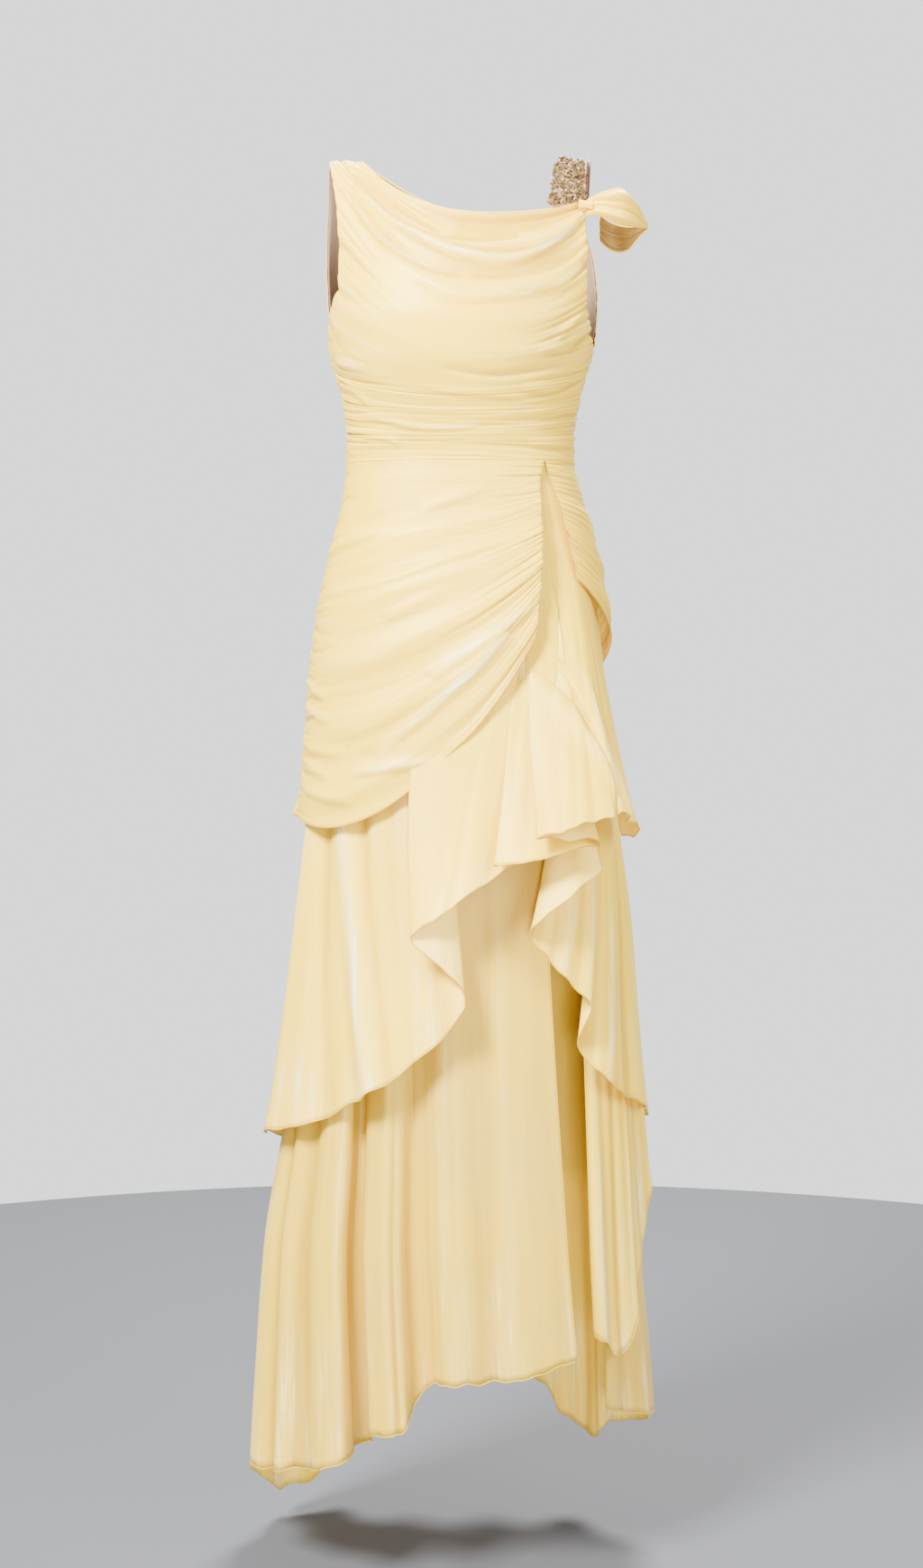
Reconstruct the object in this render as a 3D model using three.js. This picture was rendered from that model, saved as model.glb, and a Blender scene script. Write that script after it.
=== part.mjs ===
// A draped floor-length dress with a cowl bodice, one beaded strap, an off-shoulder drape, a ruched
// hip wrap and three tiers of hanging cloth with waterfall edges. Millimetres, +Z up. The front
// faces -Y, and the origin is on the shoulder line, midway between the wearer's shoulders.
import * as THREE from "three";

const DEG = Math.PI / 180;

// ---- Driving sizes ----
const WAIST_Z = -318; // waist seam
const SEAM_GAP = 0.3; // space left between pieces that are sewn together
const CHIFFON = 1.1; // wall of the hanging tiers
const SATIN = 1.6; // wall of the gathered bodice and hip wrap
const LINING = 1.0;
const BEADED = 2.4; // beaded strap with its backing
const LAYER = CHIFFON + 0.5; // pitch of the layers stacked at the waist seam
const FORM_POWER = 2.2; // 2 is an ellipse, more is squarer
const SHOULDER_END_Z = -150; // above this the form's normals tip upward
const SLOPE_REACH = 2; // height either way over which the form's slope is taken
const LINING_OUT = 0.3; // how far the lining stands off the form
const TIER_TOP = WAIST_Z - SEAM_GAP;

// How many layers lie under each tier where it leaves the waist
const UNDER = { underskirt: 0, sideFall: LAYER, overskirt: 2 * LAYER, cascade: 3 * LAYER };
const HIP_BASE = 4 * LAYER + 0.8;

// ---- The hollow form that the cloth stands on: half-widths and half-depths by height ----
const FORM = [
  { z: 0, left: 172, right: 176, front: 0.3, back: 0.3 },
  { z: -1, left: 172, right: 176, front: 7, back: 6 },
  { z: -4, left: 171, right: 175, front: 15, back: 13 },
  { z: -12, left: 168, right: 172, front: 28, back: 24 },
  { z: -25, left: 164, right: 168, front: 41, back: 36 },
  { z: -45, left: 158, right: 163, front: 56, back: 50 },
  { z: -70, left: 153, right: 158, front: 71, back: 64 },
  { z: -105, left: 147, right: 152, front: 89, back: 79 },
  { z: -140, left: 143, right: 147, front: 105, back: 88 },
  { z: -175, left: 139, right: 142, front: 114, back: 91 },
  { z: -205, left: 134, right: 133, front: 113, back: 89 },
  { z: -245, left: 123, right: 122, front: 101, back: 82 },
  { z: -285, left: 117, right: 115, front: 87, back: 73 },
  { z: -318, left: 115, right: 113, front: 78, back: 68 },
  { z: -360, left: 119, right: 120, front: 81, back: 75 },
  { z: -400, left: 127, right: 128, front: 87, back: 86 },
  { z: -450, left: 136, right: 137, front: 94, back: 98 },
  { z: -500, left: 142, right: 144, front: 99, back: 107 },
  { z: -560, left: 147, right: 150, front: 103, back: 112 },
  { z: -620, left: 151, right: 155, front: 106, back: 114 },
  { z: -700, left: 158, right: 161, front: 110, back: 115 },
  { z: -800, left: 168, right: 170, front: 118, back: 118 },
  { z: -900, left: 177, right: 175, front: 127, back: 124 },
  { z: -1035, left: 191, right: 183, front: 139, back: 132 },
  { z: -1150, left: 208, right: 190, front: 150, back: 138 },
  { z: -1268, left: 214, right: 200, front: 158, back: 145 },
  { z: -1460, left: 222, right: 215, front: 170, back: 156 },
];

// ---- Fold lines of the gathered panels, top to bottom: where each starts and ends on the form,
// how far it sags below a straight line between its ends, where that sag is deepest (0 to 1
// along the line), and how far it stands off the form near its start, middle and end ----
const BODICE_FRONT = [
  { startAngle: -35.6, startZ: 0, endAngle: 50.5, endZ: -46.5, sag: 48, low: 0.4, start: 2, middle: 10, end: 5 },
  { startAngle: -39, startZ: 0, endAngle: 51, endZ: -53, sag: 55, low: 0.45, start: 2, middle: 3, end: 2 },
  { startAngle: -43, startZ: 0, endAngle: 51.5, endZ: -59, sag: 68, low: 0.52, start: 5, middle: 12, end: 6 },
  { startAngle: -48, startZ: -0.5, endAngle: 52.5, endZ: -72, sag: 78, low: 0.52, start: 2, middle: 4, end: 2 },
  { startAngle: -53, startZ: -2, endAngle: 55, endZ: -96, sag: 87, low: 0.52, start: 5, middle: 11, end: 7 },
  { startAngle: -53.5, startZ: -28, endAngle: 56.5, endZ: -120, sag: 82, low: 0.52, start: 3, middle: 4, end: 2 },
  { startAngle: -54, startZ: -58, endAngle: 58, endZ: -142, sag: 76, low: 0.5, start: 5, middle: 6, end: 6 },
  { startAngle: -56, startZ: -98, endAngle: 60, endZ: -160, sag: 66, low: 0.5, start: 3, middle: 4, end: 2 },
  { startAngle: -59, startZ: -140, endAngle: 64, endZ: -177, sag: 55, low: 0.5, start: 6, middle: 5, end: 6 },
  { startAngle: -76, startZ: -170, endAngle: 76, endZ: -192, sag: 46, low: 0.5, start: 3, middle: 4, end: 2 },
  { startAngle: -90, startZ: -206, endAngle: 90, endZ: -206, sag: 38, low: 0.5, start: 6, middle: 5, end: 6 },
];
const BODICE_BACK = [
  { startAngle: -144.4, startZ: 0, endAngle: -230.5, endZ: -45, sag: 28, low: 0.5, start: 3, middle: 2.5, end: 2 },
  { startAngle: -126.8, startZ: -0.5, endAngle: -232, endZ: -58, sag: 42, low: 0.5, start: 3.4, middle: 2, end: 2 },
  { startAngle: -115, startZ: -58, endAngle: -245, endZ: -95, sag: 30, low: 0.5, start: 3, middle: 2, end: 2 },
  { startAngle: -104, startZ: -108, endAngle: -256, endZ: -135, sag: 26, low: 0.5, start: 2, middle: 2, end: 2 },
  { startAngle: -98, startZ: -160, endAngle: -263, endZ: -170, sag: 22, low: 0.5, start: 2, middle: 3, end: 2 },
  { startAngle: -90, startZ: -206, endAngle: -270, endZ: -206, sag: 16, low: 0.5, start: 5, middle: 4, end: 5 },
];

// ---- Ruched stretches: gathers counted down the seam, with their depth at each end ----
const FRONT_RUCHING = { count: 6, bottomZ: WAIST_Z, hollow: 2.5, crest: 6.5, middle: 4 };
const BACK_RUCHING = { count: 3, bottomZ: WAIST_Z, hollow: 2.5, crest: 5, middle: 3.5 };

// ---- The hip wrap: its top and hem lines, and the folds that fan out between them ----
const HIP_FRONT = {
  top: { startAngle: -90, startZ: TIER_TOP, endAngle: 44.5, endZ: TIER_TOP, sag: 0, low: 0.5 },
  hem: { startAngle: -90, startZ: -694, endAngle: 26, endZ: -501, sag: 92, low: 0.55 },
  folds: 6,
  depth: 4,
  standOff: { start: 10, middle: 16, end: 20 },
};
const HIP_BACK = {
  top: { startAngle: -90, startZ: TIER_TOP, endAngle: -314, endZ: TIER_TOP, sag: 0, low: 0.5 },
  hem: { startAngle: -90, startZ: -694, endAngle: -308, endZ: -441, sag: 30, low: 0.5 },
  folds: 4,
  depth: 4,
  standOff: { start: 11, middle: 13, end: 10 },
};

// ---- Hanging tiers: a row for each fold along the lower edge. The cloth leaves the waist at
// `angle` and reaches its hem at (x, y, hem) ----
const UNDERSKIRT_FRONT = [
  { angle: -52, x: -148, y: -158, hem: -1360 },
  { angle: -45, x: -121, y: -156, hem: -1350 },
  { angle: -39, x: -103, y: -132, hem: -1342 },
  { angle: -34, x: -91, y: -150, hem: -1326 },
  { angle: -29, x: -76, y: -174, hem: -1320 },
  { angle: -25, x: -60, y: -172, hem: -1315 },
  { angle: -21, x: -49, y: -153, hem: -1298 },
  { angle: -17, x: -36, y: -148, hem: -1276 },
  { angle: -11, x: -20, y: -163, hem: -1269 },
  { angle: -4, x: 0, y: -171, hem: -1268 },
  { angle: 4, x: 26, y: -163, hem: -1267 },
  { angle: 11, x: 54, y: -169, hem: -1263 },
  { angle: 19, x: 86, y: -162, hem: -1257 },
  { angle: 27, x: 119, y: -148, hem: -1248 },
];
const UNDERSKIRT_LEFT = [
  { angle: -90, x: -222, y: -30, hem: -1386 },
  { angle: -80, x: -218, y: -78, hem: -1379 },
  { angle: -70, x: -200, y: -114, hem: -1374 },
  { angle: -60, x: -172, y: -126, hem: -1368 },
  { angle: -52, x: -148, y: -158, hem: -1360 },
];
const UNDERSKIRT_BACK = [
  { angle: -90, x: -222, y: -30, hem: -1386 },
  { angle: -105, x: -226, y: 28, hem: -1420 },
  { angle: -120, x: -202, y: 86, hem: -1460 },
  { angle: -133, x: -166, y: 114, hem: -1452 },
  { angle: -147, x: -128, y: 154, hem: -1420 },
  { angle: -160, x: -86, y: 144, hem: -1375 },
  { angle: -173, x: -42, y: 170, hem: -1346 },
  { angle: -186, x: 4, y: 152, hem: -1338 },
  { angle: -199, x: 50, y: 168, hem: -1341 },
  { angle: -211, x: 92, y: 142, hem: -1354 },
  { angle: -222, x: 120, y: 140, hem: -1392 },
  { angle: -232, x: 148, y: 112, hem: -1408 },
  { angle: -244, x: 168, y: 92, hem: -1384 },
  { angle: -257, x: 202, y: 60, hem: -1372 },
  { angle: -269, x: 211, y: 8, hem: -1348 },
  { angle: -281, x: 186, y: -46, hem: -1334 },
  { angle: -291, x: 154, y: -70, hem: -1322 },
];
const SIDE_FALL = [
  { angle: 92, x: 191, y: 20, hem: -1045 },
  { angle: 88, x: 201, y: 2, hem: -1080 },
  { angle: 82, x: 199, y: -22, hem: -1128 },
  { angle: 75, x: 190, y: -46, hem: -1190 },
  { angle: 68, x: 183, y: -64, hem: -1240 },
  { angle: 61, x: 169, y: -84, hem: -1262 },
  { angle: 53, x: 153, y: -96, hem: -1245 },
  { angle: 46, x: 139, y: -106, hem: -1234 },
];
const OVERSKIRT_LEFT = [
  { angle: -90, x: -212, y: -15, hem: -1035 },
  { angle: -75, x: -196, y: -74, hem: -1022 },
  { angle: -60, x: -160, y: -120, hem: -1005 },
  { angle: -46, x: -114, y: -142, hem: -982 },
  { angle: -35, x: -84, y: -162, hem: -963 },
  { angle: -25, x: -50, y: -160, hem: -938 },
  { angle: -16, x: -18, y: -165, hem: -908 },
  { angle: -8, x: 6, y: -164, hem: -873 },
  { angle: -1, x: -20, y: -172, hem: -838 },
  { angle: 4, x: -51, y: -172, hem: -810 },
  { angle: 9, x: -30, y: -180, hem: -790 },
  { angle: 15, x: -4, y: -177, hem: -771 },
  { angle: 22, x: 30, y: -165, hem: -748 },
  { angle: 30, x: 72, y: -146, hem: -728 },
];
const OVERSKIRT_BACK = [
  { angle: -90, x: -212, y: -15, hem: -1035 },
  { angle: -112, x: -208, y: 66, hem: -1052 },
  { angle: -130, x: -166, y: 112, hem: -1064 },
  { angle: -147, x: -124, y: 156, hem: -1073 },
  { angle: -164, x: -64, y: 150, hem: -1078 },
  { angle: -180, x: -2, y: 170, hem: -1079 },
  { angle: -196, x: 60, y: 150, hem: -1075 },
  { angle: -213, x: 122, y: 154, hem: -1063 },
  { angle: -230, x: 162, y: 108, hem: -1048 },
  { angle: -250, x: 200, y: 66, hem: -1032 },
  { angle: -270, x: 199, y: 5, hem: -1012 },
];
const OVERSKIRT_RIGHT = [
  { angle: 90, x: 199, y: 5, hem: -1012 },
  { angle: 84, x: 191, y: -50, hem: -998 },
  { angle: 79, x: 168, y: -92, hem: -977 },
  { angle: 74, x: 144, y: -114, hem: -955 },
  { angle: 69.5, x: 121, y: -124, hem: -922 },
  { angle: 65.5, x: 134, y: -136, hem: -882 },
  { angle: 61.5, x: 111, y: -144, hem: -858 },
  { angle: 57.5, x: 88, y: -151, hem: -830 },
  { angle: 53.5, x: 70, y: -159, hem: -808 },
  { angle: 49.5, x: 86, y: -168, hem: -786 },
  { angle: 45, x: 114, y: -166, hem: -763 },
  { angle: 40, x: 144, y: -150, hem: -740 },
];
const CASCADE = [
  { angle: 28, x: 62, y: -167, hem: -731 },
  { angle: 31, x: 33, y: -174, hem: -733 },
  { angle: 34, x: 62, y: -182, hem: -730 },
  { angle: 37, x: 104, y: -180, hem: -720 },
  { angle: 40, x: 136, y: -174, hem: -710 },
  { angle: 43, x: 108, y: -188, hem: -706 },
  { angle: 46, x: 77, y: -194, hem: -703 },
  { angle: 49, x: 102, y: -203, hem: -697 },
  { angle: 52.5, x: 128, y: -196, hem: -687 },
  { angle: 56, x: 152, y: -172, hem: -683 },
  { angle: 60, x: 168, y: -132, hem: -672 },
  { angle: 65, x: 183, y: -88, hem: -686 },
  { angle: 71, x: 189, y: -40, hem: -697 },
];

// ---- The off-shoulder loop: stations from its front knot round the arm to its back end ----
const SLEEVE_LOOP = [
  { x: 132.9, y: -46.5, top: -47, bottom: -64, billow: 1 },
  { x: 146, y: -53, top: -33, bottom: -66, billow: 5 },
  { x: 162, y: -52, top: -27, bottom: -68, billow: 7 },
  { x: 178, y: -38, top: -32, bottom: -64, billow: 6 },
  { x: 190, y: -18, top: -43, bottom: -62, billow: 3 },
  { x: 196, y: 2, top: -50, bottom: -64, billow: 2 },
  { x: 191, y: 24, top: -52, bottom: -72, billow: 3 },
  { x: 180, y: 40, top: -50, bottom: -78, billow: 4 },
  { x: 165, y: 42, top: -48, bottom: -77, billow: 4 },
  { x: 149, y: 31, top: -48, bottom: -70, billow: 1 },
];

// ---- The beaded strap: its two edges from the front neckline over the shoulder to the back, and
// how far each stands off the form ----
const STRAP = [
  { innerX: 88, innerZ: -57.9, outerX: 129.5, outerZ: -44.5, innerOut: 8, outerOut: 4.4 },
  { innerX: 94, innerZ: -31, outerX: 132, outerZ: -24, innerOut: 4, outerOut: 3 },
  { innerX: 99, innerZ: -11, outerX: 134, outerZ: -9, innerOut: 2.5, outerOut: 2.5 },
  { innerX: 103, innerZ: 0, outerX: 135, outerZ: 0, innerOut: 2.5, outerOut: 2.5 },
];
const STRAP_BACK = [
  { innerX: 102, innerZ: -10, outerX: 135, outerZ: -8, innerOut: 2.5, outerOut: 2.5 },
  { innerX: 99, innerZ: -29, outerX: 134, outerZ: -25, innerOut: 2.5, outerOut: 2.5 },
  { innerX: 96.5, innerZ: -50.7, outerX: 131, outerZ: -43.8, innerOut: 2.5, outerOut: 2.5 },
];

// ---- Numbers of steps ----
const BODICE_COLUMNS = 20;
const BACK_COLUMNS = 16;
const HIP_FRONT_COLUMNS = 16;
const HIP_BACK_COLUMNS = 26;
const FOLD_STEPS = 2; // rows from a fold's crest to the next hollow
const TIER_LEVELS = [TIER_TOP, -338, -385, -450, -600]; // rows that all tiers share
const PLEAT_STEPS = 2; // columns from one station of a hem to the next
const SLEEVE_STEPS = 6; // rows across the off-shoulder loop
const STRAP_STEPS = 4; // columns across the strap

const lerp = (a, b, t) => a + (b - a) * t;
const smooth = (t) => t * t * (3 - 2 * t);
const clamp01 = (t) => Math.min(1, Math.max(0, t));

// A monotone cubic through the rows of a table, read at z
function formSize(column, z) {
  let i = 0;
  while (i < FORM.length - 2 && z < FORM[i + 1].z) i += 1;
  const slopeBetween = (j) => (FORM[j + 1][column] - FORM[j][column]) / (FORM[j + 1].z - FORM[j].z);
  const slopeAt = (j) => {
    if (j === 0) return slopeBetween(0);
    if (j === FORM.length - 1) return slopeBetween(j - 1);
    const before = slopeBetween(j - 1);
    const after = slopeBetween(j);
    return before * after <= 0 ? 0 : (2 * before * after) / (before + after);
  };
  const span = FORM[i + 1].z - FORM[i].z;
  const t = clamp01((z - FORM[i].z) / span);
  const rise = FORM[i + 1][column] - FORM[i][column];
  const m0 = slopeAt(i) * span;
  const m1 = slopeAt(i + 1) * span;
  const curve = m0 + m1 - 2 * rise;
  return FORM[i][column] + t * (m0 + t * (rise - m0 - curve + t * curve));
}

// A point on the form: angle 0 is the front, 90 the viewer's right, 180 the back
function formPoint(angle, z) {
  const s = Math.sin(angle * DEG);
  const c = Math.cos(angle * DEG);
  const bend = 2 / FORM_POWER;
  const width = formSize(s < 0 ? "left" : "right", z);
  const depth = formSize(c > 0 ? "front" : "back", z);
  const x = width * Math.sign(s) * Math.abs(s) ** bend;
  const y = -depth * Math.sign(c) * Math.abs(c) ** bend;
  return new THREE.Vector3(x, y, z);
}

// The form's normal in plan, for cloth that hangs
function planNormal(angle, z) {
  const s = Math.sin(angle * DEG);
  const c = Math.cos(angle * DEG);
  const bend = 2 - 2 / FORM_POWER;
  const width = formSize(s < 0 ? "left" : "right", z);
  const depth = formSize(c > 0 ? "front" : "back", z);
  const x = (Math.sign(s) * Math.abs(s) ** bend) / width;
  const y = (-Math.sign(c) * Math.abs(c) ** bend) / depth;
  return new THREE.Vector3(x, y, 0).normalize();
}

// The same normal tipped upward where the form turns in over the shoulders
function formNormal(angle, z) {
  const upper = formPoint(angle, Math.min(0, z + SLOPE_REACH));
  const lower = formPoint(angle, z - SLOPE_REACH);
  const flat = planNormal(angle, z);
  const slope = lower.clone().sub(upper);
  const tip = slope.dot(flat) / -slope.z;
  return z > SHOULDER_END_Z ? flat.setZ(Math.max(0, tip)).normalize() : flat;
}

const onForm = (angle, z, out) => formPoint(angle, z).addScaledVector(formNormal(angle, z), out);

// The angle on the form of a point whose x is known
function angleAt(x, z) {
  const width = formSize(x < 0 ? "left" : "right", z);
  return (Math.sign(x) * Math.asin(Math.min(1, (Math.abs(x) / width) ** (FORM_POWER / 2)))) / DEG;
}

// Moves the first and last columns of a grid inward, so that a seam keeps its gap
function trimSides(grid, amount) {
  for (const row of grid) {
    const last = row.length - 1;
    row[0].add(row[1].clone().sub(row[0]).setLength(amount));
    row[last].add(row[last - 1].clone().sub(row[last]).setLength(amount));
  }
  return grid;
}

// Normals of a grid of points, from the points on either side of each one. `facing` is -1 where
// the columns run clockwise seen from above, which would point the normals at the wearer
function gridNormals(grid, flatRows, facing) {
  const rows = grid.length;
  const columns = grid[0].length;
  return grid.map((row, i) =>
    row.map((point, j) => {
      const across = row[Math.min(columns - 1, j + 1)].clone().sub(row[Math.max(0, j - 1)]);
      const down = grid[Math.min(rows - 1, i + 1)][j].clone().sub(grid[Math.max(0, i - 1)][j]);
      const normal = down.cross(across);
      if (flatRows.includes(i)) normal.z = 0;
      return normal.setLength(facing);
    })
  );
}

// A closed cloth wall: the grid is its inner face, and its outer face lies `thickness` outside
function clothWall(grid, thickness, flatRows = [], facing = 1) {
  const rows = grid.length;
  const columns = grid[0].length;
  const normals = gridNormals(grid, flatRows, facing);
  const positions = [];
  for (const row of grid) for (const p of row) positions.push(p.x, p.y, p.z);
  grid.forEach((row, i) =>
    row.forEach((p, j) => {
      const q = p.clone().addScaledVector(normals[i][j], thickness);
      positions.push(q.x, q.y, q.z);
    })
  );
  const inner = (i, j) => i * columns + j;
  const outer = (i, j) => rows * columns + inner(i, j);
  const faces = [];
  const quad = (a, b, c, d) => {
    if (facing > 0) faces.push(a, b, c, a, c, d);
    else faces.push(a, c, b, a, d, c);
  };
  for (let i = 0; i < rows - 1; i += 1) {
    for (let j = 0; j < columns - 1; j += 1) {
      quad(inner(i, j), inner(i, j + 1), inner(i + 1, j + 1), inner(i + 1, j));
      quad(outer(i, j), outer(i + 1, j), outer(i + 1, j + 1), outer(i, j + 1));
    }
  }
  for (let j = 0; j < columns - 1; j += 1) {
    quad(inner(0, j), outer(0, j), outer(0, j + 1), inner(0, j + 1));
    quad(inner(rows - 1, j), inner(rows - 1, j + 1), outer(rows - 1, j + 1), outer(rows - 1, j));
  }
  for (let i = 0; i < rows - 1; i += 1) {
    quad(inner(i, 0), inner(i + 1, 0), outer(i + 1, 0), outer(i, 0));
    quad(inner(i, columns - 1), outer(i, columns - 1), outer(i + 1, columns - 1), inner(i + 1, columns - 1));
  }
  const geometry = new THREE.BufferGeometry();
  geometry.setAttribute("position", new THREE.Float32BufferAttribute(positions, 3));
  geometry.setIndex(faces);
  geometry.computeVertexNormals();
  return geometry;
}

// Adds eased rows between fold lines, so that crests and hollows are rounded
function easedLines(lines, steps) {
  const eased = [];
  lines.slice(0, -1).forEach((line, i) => {
    const next = lines[i + 1];
    for (let k = 0; k < steps; k += 1) {
      const t = k / steps;
      const row = {};
      for (const key of Object.keys(line)) row[key] = lerp(line[key], next[key], t);
      for (const key of ["start", "middle", "end"]) row[key] = lerp(line[key], next[key], smooth(t));
      eased.push(row);
    }
  });
  eased.push(lines[lines.length - 1]);
  return eased;
}

// The gathers below a table of fold lines, down to the waist
function ruchedLines(lines, { count, bottomZ, hollow, crest, middle }) {
  const first = lines[lines.length - 1];
  const total = 2 * count;
  const ruched = [];
  for (let i = 1; i <= total; i += 1) {
    const t = i / total;
    const fade = 1 - t ** 4;
    const startDepth = i % 2 ? hollow : crest;
    const endDepth = i % 2 ? crest : hollow;
    ruched.push({
      ...first,
      startZ: lerp(first.startZ, bottomZ, t),
      endZ: lerp(first.endZ, bottomZ, t),
      sag: first.sag * (1 - t),
      start: lerp(HIP_BASE, startDepth, fade),
      middle: lerp(HIP_BASE, middle, fade),
      end: lerp(HIP_BASE, endDepth, fade),
    });
  }
  return [...lines, ...ruched];
}

// The lines of a bodice panel laid flat on the form, with one more at the waist
function liningLines(lines) {
  const flat = { start: LINING_OUT, middle: LINING_OUT, end: LINING_OUT };
  const waist = { ...lines[lines.length - 1], startZ: WAIST_Z, endZ: WAIST_Z, sag: 0 };
  return [...lines, waist].map((line) => ({ ...line, ...flat }));
}

// The folds of the hip wrap, which fan out between its top line and its hem
function wrapLines({ top, hem, folds, depth, standOff }) {
  const total = 2 * folds;
  const lines = [];
  for (let i = 0; i <= total; i += 1) {
    const t = i / total;
    const crest = i % 2 ? depth : 0;
    const leave = smooth(clamp01(t * 1.6));
    lines.push({
      startAngle: lerp(top.startAngle, hem.startAngle, t),
      startZ: lerp(top.startZ, hem.startZ, t),
      endAngle: lerp(top.endAngle, hem.endAngle, t ** 0.6),
      endZ: lerp(top.endZ, hem.endZ, t),
      sag: hem.sag * t ** 1.6,
      low: lerp(top.low, hem.low, t),
      start: HIP_BASE + standOff.start * leave,
      middle: HIP_BASE + standOff.middle * leave + crest * clamp01(4 * t),
      end: HIP_BASE + standOff.end * leave + 0.5 * crest * clamp01(4 * t),
    });
  }
  return lines;
}

// The grid of a gathered panel: one row for each line, laid on the form
function foldGrid(lines, columns) {
  return lines.map((line) => {
    const skew = Math.log(0.5) / Math.log(line.low);
    const row = [];
    for (let j = 0; j <= columns; j += 1) {
      const u = j / columns;
      const angle = lerp(line.startAngle, line.endAngle, u);
      const z = lerp(line.startZ, line.endZ, u) - line.sag * Math.sin(Math.PI * u ** skew);
      const nearStart = smooth(clamp01(1 - u / 0.5));
      const nearEnd = smooth(clamp01((u - 0.5) / 0.5));
      const out = line.start * nearStart + line.middle * (1 - nearStart - nearEnd) + line.end * nearEnd;
      row.push(onForm(angle, Math.min(0, z), out));
    }
    return row;
  });
}

// A smooth curve through the rows of a table; angles at the waist are shared out evenly
function hemStations(table, steps) {
  const keys = Object.keys(table[0]);
  const stations = [];
  const at = (i) => table[Math.min(table.length - 1, Math.max(0, i))];
  for (let i = 0; i < table.length - 1; i += 1) {
    for (let k = 0; k < steps; k += 1) {
      const t = k / steps;
      const station = {};
      for (const key of keys) {
        const [a, b, c, d] = [at(i - 1)[key], at(i)[key], at(i + 1)[key], at(i + 2)[key]];
        const bend = (2 * a - 5 * b + 4 * c - d) * t * t + (3 * b - a - 3 * c + d) * t * t * t;
        station[key] = key === "angle" ? lerp(b, c, t) : b + 0.5 * ((c - a) * t + bend);
      }
      stations.push(station);
    }
  }
  stations.push(table[table.length - 1]);
  return stations;
}

// The grid of a hanging tier: it follows the form from the waist and swings out to its hem
function hangingGrid(table, { base, lowerRows, swing }) {
  const stations = hemStations(table, PLEAT_STEPS);
  const lastLevel = TIER_LEVELS[TIER_LEVELS.length - 1];
  const rows = [];
  for (let i = 0; i < TIER_LEVELS.length + lowerRows; i += 1) {
    rows.push(
      stations.map(({ angle, x, y, hem }) => {
        const below = (i - TIER_LEVELS.length + 1) / lowerRows;
        const z = i < TIER_LEVELS.length ? TIER_LEVELS[i] : lerp(lastLevel, hem, below);
        const share = ((TIER_TOP - z) / (TIER_TOP - hem)) ** swing;
        const hung = formPoint(angle, z).addScaledVector(planNormal(angle, z), base);
        const foot = formPoint(angle, hem).addScaledVector(planNormal(angle, hem), base);
        hung.x += (x - foot.x) * share;
        hung.y += (y - foot.y) * share;
        return hung;
      })
    );
  }
  return rows;
}

// The off-shoulder loop: each station is a soft strip that billows outward
function sleeveGrid() {
  const stations = hemStations(SLEEVE_LOOP, PLEAT_STEPS);
  const grid = [];
  for (let i = 0; i <= SLEEVE_STEPS; i += 1) {
    const t = i / SLEEVE_STEPS;
    grid.push(
      stations.map((station, j) => {
        const before = stations[Math.max(0, j - 1)];
        const after = stations[Math.min(stations.length - 1, j + 1)];
        const outward = new THREE.Vector3(after.y - before.y, before.x - after.x, 0).normalize();
        const bulge = station.billow * (Math.sin(Math.PI * t) + 0.35 * Math.sin(3 * Math.PI * t));
        const z = lerp(station.top, station.bottom, t);
        return new THREE.Vector3(station.x, station.y, z).addScaledVector(outward, bulge);
      })
    );
  }
  return grid;
}

// The strap lies over the shoulder, on the form's front and then its back
function strapGrid() {
  const front = STRAP.map((row) => ({ side: 1, ...row }));
  const back = STRAP_BACK.map((row) => ({ side: -1, ...row }));
  return hemStations([...front, ...back], PLEAT_STEPS).map((row) => {
    const points = [];
    for (let j = 0; j <= STRAP_STEPS; j += 1) {
      const t = j / STRAP_STEPS;
      const x = lerp(row.innerX, row.outerX, t);
      const z = Math.min(0, lerp(row.innerZ, row.outerZ, t));
      const angle = angleAt(x, z);
      const out = lerp(row.innerOut, row.outerOut, t);
      points.push(onForm(row.side > 0 ? angle : 180 - angle, z, out));
    }
    return points;
  });
}

const satin = (color) => new THREE.MeshStandardMaterial({ color, roughness: 0.45, metalness: 0.05 });
const chiffon = (color) => new THREE.MeshStandardMaterial({ color, roughness: 0.6, metalness: 0 });
const BUTTER = "#f2dd98";
const NUDE = "#b58c7b";
const GOLD = "#c7a25c";

const dress = new THREE.Group();

function addPiece(name, geometry, material) {
  const mesh = new THREE.Mesh(geometry, material);
  mesh.name = name;
  dress.add(mesh);
}

function gatheredPiece(name, lines, columns, thickness, material) {
  const grid = trimSides(foldGrid(easedLines(lines, FOLD_STEPS), columns), SEAM_GAP / 2);
  const facing = Math.sign(lines[0].endAngle - lines[0].startAngle);
  addPiece(name, clothWall(grid, thickness, [0, grid.length - 1], facing), material);
}

function hangingPiece(name, table, options) {
  const grid = trimSides(hangingGrid(table, options), SEAM_GAP / 2);
  const facing = Math.sign(table[table.length - 1].angle - table[0].angle);
  addPiece(name, clothWall(grid, CHIFFON, [0], facing), chiffon(BUTTER));
}

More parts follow.
